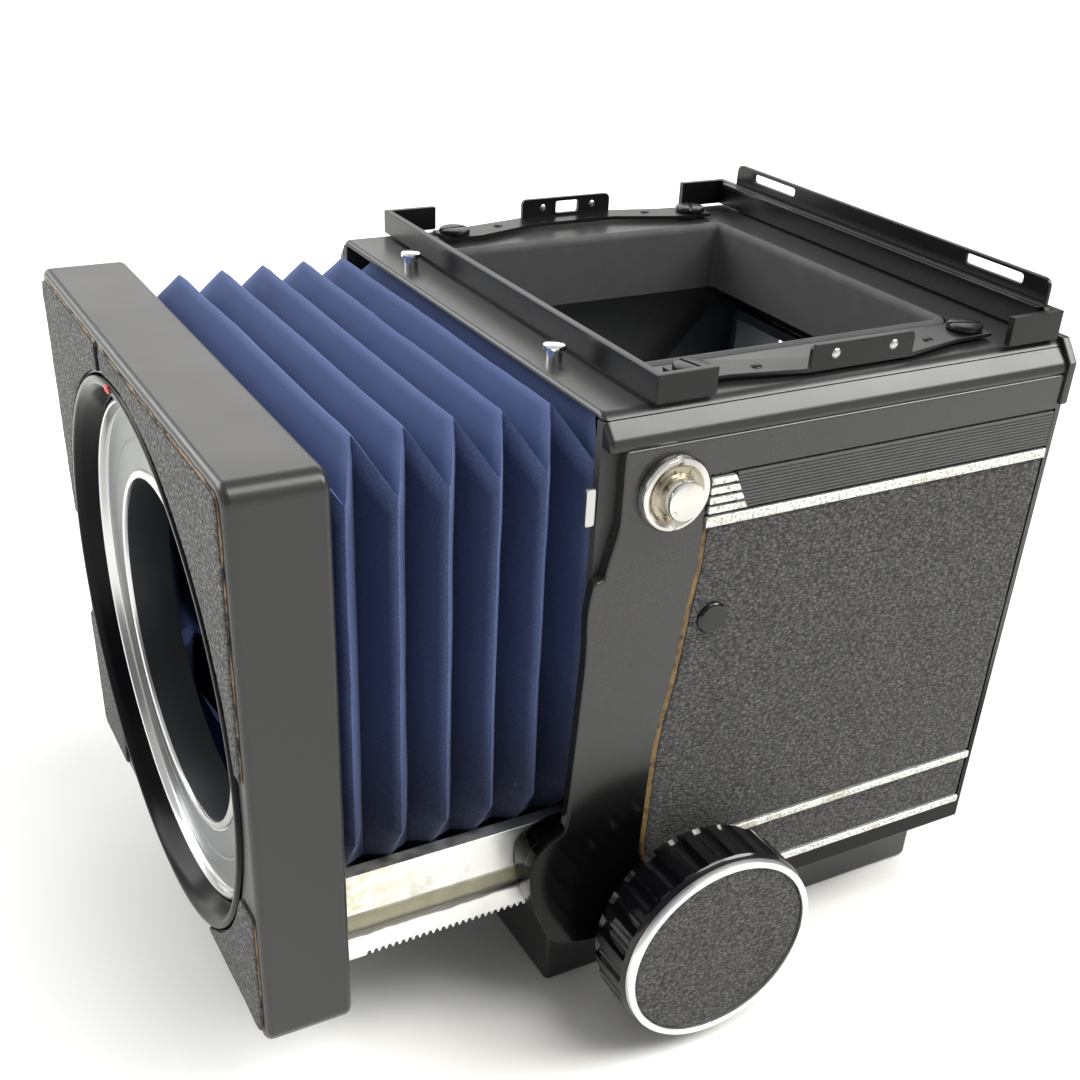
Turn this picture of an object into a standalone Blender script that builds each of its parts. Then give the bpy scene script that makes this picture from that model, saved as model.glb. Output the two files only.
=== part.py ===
"""Bellows-focusing reflex camera body, without its lens, finder hood and film back.

All sizes are in millimetres and the helpers turn them into metres. The lens looks along -Y,
+Z is up, and +X is the photographer's left. Every part is drawn with y = 0 at the body's
front, and build() then moves them all, so that the origin is on the base's underside,
straight below the focusing shaft.
"""

import math

import bmesh
import bpy
from mathutils import Matrix, Vector

MM = 0.001

# Driving sizes
BODY_HALF = 52.0  # half the width over the side covers
CASTING_HALF = 49.4
BODY_BACK = 91.5
TRIPOD_Y = 45.0  # the tripod hole, behind the body's front
CASTING_TOP = 116.2
COVER_TOP = 117.5
LENS_HEIGHT = 64.0  # lens axis above the tripod face
GAP = 0.3  # clearance kept between neighbours

FRAME_FRONT = -56.6
FRAME_BACK = -41.9
FRAME_BOTTOM = 19.0
FRAME_TOP = 117.0
WEB_FRONT = -47.4
WEB_BACK = -46.9
COLLAR_RADIUS = 47.8

BELLOWS_FRONT = -46.57
PLEAT = 7.79
PLEATS = 7

RAIL_INNER = 42.3
RAIL_OUTER = 45.0
RAIL_TOP = 43.1
RAIL_BACK = 44.0
RACK_FRONT = -35.5
RACK_TEETH = 60
SHAFT_Y = 20.5
SHAFT_Z = 22.4
SHAFT_RADIUS = 2.4
GEAR_MODULE = 0.4
GEAR_TEETH = 16
GEAR_PITCH_RADIUS = GEAR_MODULE * GEAR_TEETH / 2
TOOTH_ADDENDUM = 0.32
TOOTH_DEDENDUM = 0.44
TOOTH_BACKLASH = 0.12
PRESSURE_ANGLE = math.radians(20)
PITCH_LINE = SHAFT_Z + GEAR_PITCH_RADIUS

KNOB_RADIUS = 19.4
KNOB_INNER = 56.2
KNOB_FACE = 68.0
KNOB_FLUTES = 24

LEATHER_FLOOR = 51.3  # depth of the pocket in a side cover
MIRROR_HINGE = (84.5, 101.5)
SHIELD_HINGE = (86.3, 97.4)
MIRROR_REST_ANGLE = math.radians(45)
COCKING_PIVOT = (60.0, 72.0)

AXIS_TURNS = {
    "+X": Matrix.Rotation(math.pi / 2, 4, "Y"),
    "-X": Matrix.Rotation(-math.pi / 2, 4, "Y"),
    "-Y": Matrix.Rotation(math.pi / 2, 4, "X"),
    "+Z": Matrix.Identity(4),
}
PLANES = {
    "XY": Matrix.Identity(4),
    "YZ": Matrix(((0, 0, 1, 0), (1, 0, 0, 0), (0, 1, 0, 0), (0, 0, 0, 1))),
    "XZ": Matrix.Rotation(math.pi / 2, 4, "X"),
}
NORMALS = {"XY": Vector((0, 0, 1)), "YZ": Vector((1, 0, 0)), "XZ": Vector((0, 1, 0))}


# Scene

for old in list(bpy.data.objects):
    bpy.data.objects.remove(old)


def new_collection(name):
    collection = bpy.data.collections.new(name)
    bpy.context.scene.collection.children.link(collection)
    return collection


PARTS = new_collection("camera")
CUTTERS = new_collection("cutters")


def material(name, colour, roughness, metallic):
    made = bpy.data.materials.new(name)
    made.use_nodes = True
    shader = made.node_tree.nodes["Principled BSDF"]
    shader.inputs["Base Color"].default_value = (*colour, 1)
    shader.inputs["Roughness"].default_value = roughness
    shader.inputs["Metallic"].default_value = metallic
    return made


ENAMEL = material("black_enamel", (0.012, 0.012, 0.014), 0.3, 0.0)
MATT_BLACK = material("matt_black", (0.02, 0.02, 0.022), 0.7, 0.0)
LEATHER = material("leatherette", (0.035, 0.034, 0.033), 0.6, 0.0)
CLOTH = material("bellows_cloth", (0.02, 0.035, 0.13), 0.85, 0.0)
SATIN = material("satin_steel", (0.62, 0.62, 0.6), 0.35, 1.0)
CHROME = material("chrome", (0.8, 0.8, 0.8), 0.12, 1.0)
SILVER = material("silver_trim", (0.7, 0.7, 0.66), 0.45, 0.8)
BRASS = material("brass", (0.6, 0.45, 0.2), 0.35, 1.0)
GLASS = material("mirror_glass", (0.75, 0.78, 0.85), 0.03, 1.0)
PLASTIC = material("black_plastic", (0.015, 0.015, 0.016), 0.35, 0.0)
RED = material("red_enamel", (0.6, 0.03, 0.02), 0.4, 0.0)


# Shape helpers


def new_object(name, mesh, finish, matrix=None):
    made = bpy.data.objects.new(name, mesh)
    if finish:
        mesh.materials.clear()
        mesh.materials.append(finish)
    PARTS.objects.link(made)
    made.matrix_world = matrix or Matrix.Identity(4)
    return made


def mesh_from(bm, name):
    mesh = bpy.data.meshes.new(name)
    bm.to_mesh(mesh)
    bm.free()
    return mesh


def box(name, low, high, finish=None):
    size = (Vector(high) - Vector(low)) * MM
    centre = (Vector(high) + Vector(low)) * (MM / 2)
    bm = bmesh.new()
    bmesh.ops.create_cube(bm, size=1)
    bmesh.ops.scale(bm, vec=size, verts=bm.verts)
    return new_object(name, mesh_from(bm, name), finish, Matrix.Translation(centre))


def cylinder(name, axis, centre, radius, length, finish=None, segments=32):
    bm = bmesh.new()
    bmesh.ops.create_cone(
        bm,
        cap_ends=True,
        segments=segments,
        radius1=radius * MM,
        radius2=radius * MM,
        depth=length * MM,
    )
    place = Matrix.Translation(Vector(centre) * MM) @ AXIS_TURNS[axis]
    return new_object(name, mesh_from(bm, name), finish, place)


def turned(name, axis, origin, profile, finish=None, ring=False, segments=48):
    """Turns a profile of (radius, height along axis), which runs down its outer side."""
    mesh = bpy.data.meshes.new(name)
    edges = [(i, i + 1) for i in range(len(profile) - 1)]
    if ring:
        edges.append((len(profile) - 1, 0))
    mesh.from_pydata([(r * MM, 0, h * MM) for r, h in profile], edges, [])
    place = Matrix.Translation(Vector(origin) * MM) @ AXIS_TURNS[axis]
    made = new_object(name, mesh, finish, place)
    screw = made.modifiers.new("turn", "SCREW")
    screw.steps = segments
    screw.render_steps = segments
    screw.use_merge_vertices = True
    screw.merge_threshold = 0.00001
    return made


def refill_caps(bm):
    """Makes each cap one face, because filling leaves empty triangles on rows of points."""
    caps = [face for face in bm.faces if len({round(v.co.z, 3) for v in face.verts}) == 1]
    bmesh.ops.delete(bm, geom=caps, context="FACES")
    rims = [edge for edge in bm.edges if edge.is_boundary]
    bmesh.ops.holes_fill(bm, edges=rims, sides=0)


def outline(name, plane, points, low, high, finish=None, holes=()):
    """A flat outline in a plane, from low to high along the plane's normal.

    The curve is drawn in millimetres, because filling it rounds off smaller details.
    """
    curve = bpy.data.curves.new(name, "CURVE")
    curve.dimensions = "2D"
    curve.fill_mode = "BOTH"
    curve.extrude = (high - low) / 2
    for loop in (points, *holes):
        spline = curve.splines.new("POLY")
        spline.points.add(len(loop) - 1)
        spline.use_cyclic_u = True
        for point, (u, v) in zip(spline.points, loop):
            point.co = (u, v, 0, 1)
    drawn = bpy.data.objects.new(name, curve)
    PARTS.objects.link(drawn)
    middle = NORMALS[plane] * ((high + low) / 2 * MM)
    drawn.matrix_world = Matrix.Translation(middle) @ PLANES[plane]
    bpy.context.view_layer.update()
    depsgraph = bpy.context.evaluated_depsgraph_get()
    mesh = bpy.data.meshes.new_from_object(drawn.evaluated_get(depsgraph))
    matrix = drawn.matrix_world.copy()
    bpy.data.objects.remove(drawn)
    bm = bmesh.new()
    bm.from_mesh(mesh)
    bmesh.ops.remove_doubles(bm, verts=bm.verts, dist=0.0001)
    if holes:
        bmesh.ops.dissolve_limit(bm, angle_limit=0.001, verts=bm.verts, edges=bm.edges)
    else:
        refill_caps(bm)
    bmesh.ops.scale(bm, vec=(MM, MM, MM), verts=bm.verts)
    bmesh.ops.recalc_face_normals(bm, faces=bm.faces)
    bm.to_mesh(mesh)
    bm.free()
    return new_object(name, mesh, finish, matrix)


def combine(target, operation, others):
    for other in others:
        PARTS.objects.unlink(other)
        CUTTERS.objects.link(other)
        other.hide_render = True
        other.display_type = "WIRE"
        boolean = target.modifiers.new(operation.lower(), "BOOLEAN")
        boolean.operation = operation
        boolean.solver = "EXACT"
        boolean.object = other
    return target


def cut(target, *cutters):
    return combine(target, "DIFFERENCE", cutters)


def unite(target, *others):
    return combine(target, "UNION", others)


def bevel(target, width, segments=2, angle=50):
    modifier = target.modifiers.new("bevel", "BEVEL")
    modifier.width = width * MM
    modifier.segments = segments
    modifier.limit_method = "ANGLE"
    modifier.angle_limit = math.radians(angle)
    return target


def arc(centre, radius, start, end, steps):
    """Points on an arc, with its angles in degrees."""
    points = []
    for step in range(steps + 1):
        angle = math.radians(start + (end - start) * step / steps)
        points.append((centre[0] + radius * math.cos(angle), centre[1] + radius * math.sin(angle)))
    return points


def circle(centre, radius, steps=32):
    return arc(centre, radius, 0, 360 - 360 / steps, steps - 1)


def rounded_rectangle(low, high, radius, steps=4):
    (x0, y0), (x1, y1) = low, high
    corners = (
        (x1 - radius, y1 - radius, 0),
        (x0 + radius, y1 - radius, 90),
        (x0 + radius, y0 + radius, 180),
        (x1 - radius, y0 + radius, 270),
    )
    points = []
    for x, y, start in corners:
        points += arc((x, y), radius, start, start + 90, steps)
    return points


def sided(side, low, high):
    """The low and high X of a stretch given for the +X side."""
    return (low, high) if side > 0 else (-high, -low)


def word(side):
    return "left" if side > 0 else "right"


# Front standard


def front_frame():
    frame = outline(
        "front_frame",
        "XZ",
        rounded_rectangle((-BODY_HALF, FRAME_BOTTOM), (BODY_HALF, FRAME_TOP), 3.0, 5),
        FRAME_FRONT,
        FRAME_BACK,
        ENAMEL,
    )
    bevel(frame, 0.9, 3)
    seat = cylinder(
        "cut_collar_seat",
        "-Y",
        (0, (WEB_FRONT - 60) / 2, LENS_HEIGHT),
        COLLAR_RADIUS + GAP,
        60 + WEB_FRONT,
        segments=48,
    )
    web_hole = cylinder("cut_web_hole", "-Y", (0, -47, LENS_HEIGHT), 33, 4, segments=48)
    hollow = box("cut_frame_hollow", (-50.6, WEB_BACK, 20.4), (50.6, -40, 115.8))
    return cut(frame, seat, web_hole, hollow)


def mount_collar():
    profile = (
        (46.6, 57.4),
        (47.3, 57.4),
        (COLLAR_RADIUS, 56.9),
        (COLLAR_RADIUS, 47.8),
        (44.1, 47.8),
        (44.1, 53.3),
        (45.5, 56.1),
        (45.9, 57.0),
    )
    return turned("mount_collar", "-Y", (0, 0, LENS_HEIGHT), profile, PLASTIC, True)


def bayonet_ring():
    profile = (
        (42.9, 53.7),
        (43.8, 53.3),
        (43.8, 48.3),
        (31.7, 48.3),
        (31.7, 44.5),
        (30.0, 44.5),
        (30.0, 52.3),
        (30.5, 52.8),
        (31.4, 52.8),
        (31.8, 52.2),
        (42.3, 52.2),
        (42.6, 52.6),
    )
    return turned("bayonet_ring", "-Y", (0, 0, LENS_HEIGHT), profile, SATIN, True)


def alignment_dot():
    return cylinder("alignment_dot", "-Y", (-3.5, -57.7, 110.95), 0.6, 0.4, RED, 16)


def front_leatherette(name, side, up, inner_end, outer_end, edge):
    """One corner piece: from inner_end, measured sideways, round to outer_end, measured upright."""
    radius = COLLAR_RADIUS + 0.5
    half = BODY_HALF - 1.7
    corner = 2.0
    start = math.degrees(math.atan2(outer_end, math.sqrt(radius**2 - outer_end**2)))
    stop = math.degrees(math.atan2(math.sqrt(radius**2 - inner_end**2), inner_end))
    points = [(inner_end, edge)]
    points += arc((half - corner, edge - corner), corner, 90, 0, 4)
    points.append((half, outer_end))
    points += arc((0, 0), radius, start, stop, 12)
    placed = [(side * u, LENS_HEIGHT + up * v) for u, v in points]
    return outline(name, "XZ", placed, FRAME_FRONT - 0.6, FRAME_FRONT - 0.1, LEATHER)


def front_leatherettes():
    top_edge = FRAME_TOP - 1.7 - LENS_HEIGHT
    bottom_edge = LENS_HEIGHT - FRAME_BOTTOM - 1.7
    front_leatherette("front_leatherette_left_upper", 1, 1, -9.0, 7.0, top_edge)
    front_leatherette("front_leatherette_right_upper", -1, 1, 17.0, 6.0, top_edge)
    front_leatherette("front_leatherette_left_lower", 1, -1, 22.5, 19.0, bottom_edge)
    front_leatherette("front_leatherette_right_lower", -1, -1, 33.0, 16.5, bottom_edge)


# Focusing drive


def rack_edge():
    """The toothed lower edge of a rail, from front to back, as (y, z) points."""
    pitch = math.pi * GEAR_MODULE
    slope = math.tan(PRESSURE_ANGLE)
    tip = PITCH_LINE - TOOTH_ADDENDUM
    root = PITCH_LINE + TOOTH_DEDENDUM
    half_gap = pitch / 4 + TOOTH_BACKLASH / 4
    count_before = round((SHAFT_Y - RACK_FRONT) / pitch)
    points = []
    for index in range(RACK_TEETH + 1):
        gap_middle = SHAFT_Y + (index - count_before) * pitch
        at_tip = half_gap + TOOTH_ADDENDUM * slope
        at_root = half_gap - TOOTH_DEDENDUM * slope
        points.append((gap_middle - at_tip, tip))
        points.append((gap_middle - at_root, root))
        points.append((gap_middle + at_root, root))
        points.append((gap_middle + at_tip, tip))
    return points


def rail(side):
    front = WEB_BACK + GAP
    tip = PITCH_LINE - TOOTH_ADDENDUM
    edge = [(front, tip)] + rack_edge() + [(RAIL_BACK, tip), (RAIL_BACK, RAIL_TOP), (front, RAIL_TOP)]
    low, high = sided(side, RAIL_INNER, RAIL_OUTER)
    made = outline("rail_" + word(side), "YZ", edge, low, high, SATIN)
    foot_low, foot_high = sided(side, RAIL_OUTER - 0.5, 50.1)
    foot = box("add_rail_foot", (foot_low, front, 26.5), (foot_high, -43.0, 41.5))
    groove_low, groove_high = sided(side, RAIL_OUTER - 0.6, RAIL_OUTER + 1)
    groove = box("cut_rail_groove", (groove_low, -42.5, 30.5), (groove_high, RAIL_BACK + 1, 35.0))
    return cut(unite(made, foot), groove)


def gear_outline():
    """Involute teeth, with the first one pointing straight up."""
    base = GEAR_PITCH_RADIUS * math.cos(PRESSURE_ANGLE)
    outer = GEAR_PITCH_RADIUS + TOOTH_ADDENDUM
    root = GEAR_PITCH_RADIUS - TOOTH_DEDENDUM

    def involute(angle):
        return math.tan(angle) - angle

    half_at_pitch = math.pi / (2 * GEAR_TEETH) - TOOTH_BACKLASH / (4 * GEAR_PITCH_RADIUS)

    def half_width(radius):
        reach = math.acos(min(1, base / radius))
        return half_at_pitch + involute(PRESSURE_ANGLE) - involute(reach)

    radii = (base, GEAR_PITCH_RADIUS, outer)
    points = []
    for tooth in range(GEAR_TEETH):
        middle = math.pi / 2 + tooth * 2 * math.pi / GEAR_TEETH
        flank = [(root, -half_width(base))] + [(r, -half_width(r)) for r in radii]
        flank += [(r, half_width(r)) for r in reversed(radii)] + [(root, half_width(base))]
        for radius, turn in flank:
            angle = middle + turn
            points.append((SHAFT_Y + radius * math.cos(angle), SHAFT_Z + radius * math.sin(angle)))
    return points


def focus_pinion_shaft():
    centre = (0, SHAFT_Y, SHAFT_Z)
    shaft = cylinder("focus_pinion_shaft", "+X", centre, SHAFT_RADIUS, 130, SATIN, 24)
    pinions = []
    for side in (1, -1):
        low, high = sided(side, RAIL_INNER + 0.1, RAIL_OUTER - 0.1)
        pinions.append(outline("add_pinion", "YZ", gear_outline(), low, high))
    return unite(shaft, *pinions)


def flute_cutter(side):
    """All the flutes round a knob, as one cutter."""
    bm = bmesh.new()
    for index in range(KNOB_FLUTES):
        angle = 2 * math.pi * index / KNOB_FLUTES
        centre = Vector((20.4 * math.cos(angle), 20.4 * math.sin(angle), 60.0)) * MM
        bmesh.ops.create_cone(
            bm,
            cap_ends=True,
            segments=12,
            radius1=1.9 * MM,
            radius2=1.9 * MM,
            depth=9.2 * MM,
            matrix=Matrix.Translation(centre),
        )
    place = Matrix.Translation(Vector((0, SHAFT_Y, SHAFT_Z)) * MM) @ AXIS_TURNS[axis_word(side)]
    return new_object("cut_flutes", mesh_from(bm, "cut_flutes"), None, place)


def axis_word(side):
    return "+X" if side > 0 else "-X"


def knob(side):
    origin = (0, SHAFT_Y, SHAFT_Z)
    axis = axis_word(side)
    seat = KNOB_FACE - 1.5
    body = (
        (0, seat),
        (18.5, seat),
        (19.2, seat - 0.9),
        (KNOB_RADIUS, seat - 1.7),
        (KNOB_RADIUS, KNOB_INNER + 0.8),
        (18.8, KNOB_INNER),
        (2.7, KNOB_INNER),
        (2.7, 65.4),
        (0, 65.4),
    )
    made = turned("knob_" + word(side), axis, origin, body, PLASTIC)
    cut(made, flute_cutter(side))
    rim = (
        (18.4, KNOB_FACE),
        (18.8, KNOB_FACE - 0.3),
        (18.8, seat + 0.2),
        (17.6, seat + 0.2),
        (17.6, KNOB_FACE),
    )
    turned("knob_ring_" + word(side), axis, origin, rim, CHROME, True)
    disc = ((0, KNOB_FACE - 0.4), (17.3, KNOB_FACE - 0.4), (17.3, seat + 0.2), (0, seat + 0.2))
    turned("knob_disc_" + word(side), axis, origin, disc, LEATHER)


# Bellows


def bellows_section(station):
    """Corner points (x, z) of one fold line, clockwise from the upper left."""
    out_at_sides = station % 2 == 0
    side = 47.1 if out_at_sides else 40.15
    low_side = 41.2 if out_at_sides else 36.0
    top = 109.4 if out_at_sides else 116.0
    bottom = 28.8 if out_at_sides else 22.0
    if station == 1:
        top = 115.2
    right = [(side, top), (side, 48.8), (low_side, 43.0), (low_side, bottom)]
    return [(-x, z) for x, z in right[::-1]] + right


def bellows():
    stations = [BELLOWS_FRONT + PLEAT / 2 * i for i in range(2 * PLEATS + 1)]
    sections = [bellows_section(i) for i in range(2 * PLEATS + 1)]
    stations.insert(1, stations[0] + 0.6)
    sections.insert(1, sections[0])
    stations.append(stations[-1] + 1.7)
    sections.append(sections[-1])
    bm = bmesh.new()
    rings = []
    for y, section in zip(stations, sections):
        rings.append([bm.verts.new((x * MM, y * MM, z * MM)) for x, z in section])
    for before, after in zip(rings, rings[1:]):
        for i in range(len(before)):
            j = (i + 1) % len(before)
            bm.faces.new((before[i], before[j], after[j], after[i]))
    bmesh.ops.recalc_face_normals(bm, faces=bm.faces)
    made = new_object("bellows", mesh_from(bm, "bellows"), CLOTH)
    shell = made.modifiers.new("shell", "SOLIDIFY")
    shell.thickness = 0.5 * MM
    shell.offset = -1
    return made


# Body


def body_casting():
    casting = box("body_casting", (-CASTING_HALF, 0, 18.9), (CASTING_HALF, 88, CASTING_TOP), ENAMEL)
    recess = box("cut_bellows_recess", (-47.8, -1, 20.8), (47.8, 10, 120))
    chamber = box("cut_chamber", (-39.5, 9, 27), (39.5, 90, 120))
    cutters = [recess, chamber]
    for side in (1, -1):
        low, high = sided(side, 41.9, 45.5)
        cutters.append(box("cut_rail_slot", (low, 9, 24.9), (high, 86, 43.5)))
        middle = (side * 43.7, SHAFT_Y, SHAFT_Z)
        cutters.append(cylinder("cut_pinion_pocket", "+X", middle, 3.85, 3.6, segments=24))
    for name, hinge, radius in (("mirror", MIRROR_HINGE, 1.9), ("shield", SHIELD_HINGE, 1.6)):
        cutters.append(cylinder("cut_" + name + "_pin", "+X", (0, *hinge), radius, 84, segments=16))
    cutters.append(cylinder("cut_shaft", "+X", (0, SHAFT_Y, SHAFT_Z), 2.8, 110, segments=24))
    cutters.append(cylinder("cut_interlock", "-Y", (-44, 86, LENS_HEIGHT), 1.6, 14, segments=16))
    return cut(casting, *cutters)


def top_cover():
    edge = [(BODY_HALF, 112.2), (BODY_HALF, 113.6), (51.7, 115.2), (51.2, 116.5), (50.4, COVER_TOP)]
    outer = edge + [(-x, z) for x, z in reversed(edge)]
    under = CASTING_TOP + GAP
    inner = [(-49.7, 112.2), (-49.7, under), (49.7, under), (49.7, 112.2)]
    cover = outline("top_cover", "XZ", outer + inner, 0, 91.3, ENAMEL)
    well = rounded_rectangle((-35.2, 13.5), (35.2, 78.8), 3.0)
    return cut(cover, outline("cut_well", "XY", well, 115, 119))


def side_cover(side):
    edge = [
        (2.8, 111.9),
        (2.8, 100.0),
        (1.3, 95.1),
        (0.7, 92.0),
        (-1.0, 91.8),
        (-1.9, 86.8),
        (-1.5, 79.1),
        (-2.5, 57.9),
        (-3.2, 45.2),
        (-7.2, 43.7),
        (-9.6, 40.3),
        (-9.3, 33.6),
        (-7.7, 27.7),
        (-4.0, 20.1),
        (4.3, 18.0),
        (91.0, 18.0),
        (91.0, 111.9),
    ]
    low, high = sided(side, 49.7, BODY_HALF)
    cover = bevel(outline("side_cover_" + word(side), "YZ", edge, low, high, ENAMEL), 0.4)
    lobe = [
        (-0.3, 44.6),
        (-3.0, 44.6),
        (-7.0, 43.0),
        (-9.4, 40.1),
        (-9.1, 33.7),
        (-7.5, 27.8),
        (-3.9, 20.6),
        (-0.3, 20.6),
    ]
    lobe_low, lobe_high = sided(side, 45.4, 51.0)
    unite(cover, outline("add_lobe", "YZ", lobe, lobe_low, lobe_high))
    pocket = [
        (17.6, 106.3),
        (17.6, 92.0),
        (16.4, 84.7),
        (14.7, 70.0),
        (12.6, 59.0),
        (12.0, 35.3),
        (13.7, 30.7),
        (19.8, 28.2),
        (26.8, 26.7),
        (29.0, 22.3),
        (89.6, 22.3),
        (89.6, 106.3),
    ]
    floor_low, floor_high = sided(side, LEATHER_FLOOR, BODY_HALF + 2)
    cut(cover, outline("cut_pocket", "YZ", pocket, floor_low, floor_high))
    hole = cylinder("cut_shaft_hole", "+X", (side * 50, SHAFT_Y, SHAFT_Z), 2.8, 8, segments=24)
    return cut(cover, hole)


def side_leatherette(side):
    edge = [
        (17.9, 97.2),
        (17.9, 92.0),
        (16.7, 84.7),
        (15.0, 70.0),
        (12.9, 59.0),
        (12.3, 35.6),
        (14.0, 31.0),
        (20.0, 28.6),
        (27.0, 27.0),
        (28.6, 24.4),
        (89.3, 24.4),
        (89.3, 33.2),
        (30.7, 33.2),
        (30.7, 35.3),
        (89.3, 35.3),
        (89.3, 97.2),
    ]
    low, high = sided(side, LEATHER_FLOOR + 0.1, BODY_HALF + 0.1)
    holes = [circle((21.4, 81.0), 3.1, 20)] if side > 0 else []
    return outline("side_leatherette_" + word(side), "YZ", edge, low, high, LEATHER, holes)


def side_fittings(side):
    def strip(name, y0, y1, z0, z1, top, finish):
        low, high = sided(side, LEATHER_FLOOR + 0.1, top)
        box(name + "_" + word(side), (low, y0, z0), (high, y1, z1), finish)

    strip("name_plate", 18.0, 89.3, 99.5, 106.0, 52.3, MATT_BLACK)
    strip("trim_upper", 18.0, 89.3, 97.5, 99.2, 52.5, SILVER)
    strip("trim_lower_a", 31.0, 89.3, 33.5, 35.0, 52.6, SILVER)
    strip("trim_lower_b", 40.0, 89.3, 22.6, 24.1, 52.6, SILVER)


def strap_lug(side):
    profile = (
        (0, 56.2),
        (2.9, 56.2),
        (3.28, 55.8),
        (3.2, 54.6),
        (3.6, 53.9),
        (5.6, 53.5),
        (6.05, 53.2),
        (6.05, 52.3),
        (0, 52.3),
    )
    origin = (0, 11.25, 104.75)
    lug = turned("strap_lug_" + word(side), axis_word(side), origin, profile, CHROME, False, 28)
    for up in (1, -1):
        low, high = sided(side, 52.9, 54.5)
        z = 104.75 + up * 5.6
        cut(lug, box("cut_lug_slot", (low, 10.85, z - 0.9), (high, 11.65, z + 0.9)))
    return lug


def rear_plate():
    edge = rounded_rectangle((-CASTING_HALF, 18.9), (CASTING_HALF, CASTING_TOP), 1.0, 2)
    gate = rounded_rectangle((-36, 28), (36, 100), 1.5, 3)
    hole = circle((-44, LENS_HEIGHT), 1.6, 16)
    return outline("rear_plate", "XZ", edge, 88.3, BODY_BACK, MATT_BLACK, (gate, hole))


def base_parts():
    box("bottom_plate", (-CASTING_HALF, 0, 18.0), (CASTING_HALF, 91.2, 18.6), ENAMEL)
    base = box("base_block", (-41.5, 1.0, 0), (41.5, 90.5, 17.7), ENAMEL)
    bevel(base, 1.0)
    cut(base, cylinder("cut_bush_hole", "+Z", (0, TRIPOD_Y, 6), 8.3, 13, segments=32))
    bush = ((7.6, 12.0), (8.0, 11.6), (8.0, 0), (4.8, 0), (4.8, 12.0))
    turned("tripod_bush", "+Z", (0, TRIPOD_Y, 0), bush, BRASS, True, 48)


# Finder seat


def finder_walls():
    front = [
        (-49.6, 19.2),
        (-49.6, 8.6),
        (49.6, 8.6),
        (49.6, 19.2),
        (48.4, 19.2),
        (48.4, 9.8),
        (-48.4, 9.8),
        (-48.4, 19.2),
    ]
    outline("finder_front_wall", "XY", front, COVER_TOP + GAP, 122.1, ENAMEL)
    rear = [
        (-49.6, 77.5),
        (-48.4, 77.5),
        (-48.4, 87.4),
        (48.4, 87.4),
        (48.4, 77.5),
        (49.6, 77.5),
        (49.6, 88.6),
        (-49.6, 88.6),
    ]
    wall = outline("finder_rear_wall", "XY", rear, COVER_TOP + GAP, 122.6, ENAMEL)
    unite(wall, box("add_shelf", (-46, 86.0, 121.8), (46, 88.0, 122.5)))
    edge = rounded_rectangle((-45, COVER_TOP + GAP), (45, 126.5), 1.5, 3)
    slots = [rounded_rectangle((x - 7, 124.1), (x + 7, 125.8), 0.5, 2) for x in (-32, 32)]
    outline("finder_retainer", "XZ", edge, 88.9, 89.7, ENAMEL, slots)


def finder_pins():
    base = COVER_TOP + GAP
    profile = (
        (0, 120.2),
        (1.3, 120.2),
        (1.85, 119.9),
        (1.85, 119.4),
        (1.2, 119.2),
        (1.2, base),
        (0, base),
    )
    for side in (1, -1):
        turned("finder_pin_" + word(side), "+Z", (side * 27, 4.3, 0), profile, CHROME, False, 20)


def latch(side):
    strap = [
        (44.8, 16.8),
        (45.2, 25.0),
        (47.7, 37.8),
        (47.7, 58.2),
        (45.2, 70.0),
        (44.8, 78.2),
        (38.4, 78.2),
        (38.4, 70.5),
        (42.8, 57.0),
        (42.8, 39.0),
        (38.4, 24.5),
        (38.4, 16.8),
    ]
    slots = [circle((side * 41.5, y), 2.2, 16) for y in (20, 75)]
    placed = [(side * x, y) for x, y in strap]
    made = outline("latch_" + word(side), "XY", placed, 118.0, 118.7, ENAMEL, slots)
    window = [rounded_rectangle((45.5, 119.2), (50.8, 121.6), 0.4, 2)] if side < 0 else []
    low, high = sided(side, 46.9, 47.7)
    edge = [(37.8, 118.0)] + arc((38.8, 121.3), 1.0, 180, 90, 3)
    edge += arc((57.2, 121.3), 1.0, 90, 0, 3) + [(58.2, 118.0)]
    return unite(made, outline("add_tab", "YZ", edge, low, high, None, window))


def latch_screws():
    profile = (
        (0, 119.8),
        (2.6, 119.8),
        (3.0, 119.4),
        (3.0, 118.95),
        (0.9, 118.95),
        (0.9, COVER_TOP + 0.2),
        (0, COVER_TOP + 0.2),
    )
    places = (("front", 20), ("rear", 75))
    for side in (1, -1):
        for end, y in places:
            name = "latch_screw_" + end + "_" + word(side)
            screw = turned(name, "+Z", (side * 41.5, y, 0), profile, SATIN, False, 20)
            x = side * 41.5
            cut(screw, box("cut_screw_slot", (x - 0.3, y - 4, 119.45), (x + 0.3, y + 4, 121)))


def screen_well():
    outer = rounded_rectangle((-34.9, 13.8), (34.9, 78.5), 2.7)
    inner = rounded_rectangle((-33.6, 15.1), (33.6, 77.2), 1.6)
    return outline("screen_well", "XY", outer, 105.0, 117.9, MATT_BLACK, [inner])


# Mirror box


def mirror_parts():
    y, z = MIRROR_HINGE
    frame = box("mirror_frame", (-37.5, 12.5, 100.2), (37.5, y, 101.8), MATT_BLACK)
    unite(frame, cylinder("add_mirror_pin", "+X", (0, y, z), 1.5, 82, segments=16))
    edge = rounded_rectangle((-36, 13.0), (36, 82.4), 1.0, 2)
    outline("mirror_glass", "XY", edge, 102.1, 104.0, GLASS)
    y, z = SHIELD_HINGE
    shield = box("light_shield", (-38.5, y - 0.5, 31.4), (38.5, y + 0.5, z), MATT_BLACK)
    unite(shield, cylinder("add_shield_pin", "+X", (0, y, z), 1.2, 82, segments=16))


# Controls


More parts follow.
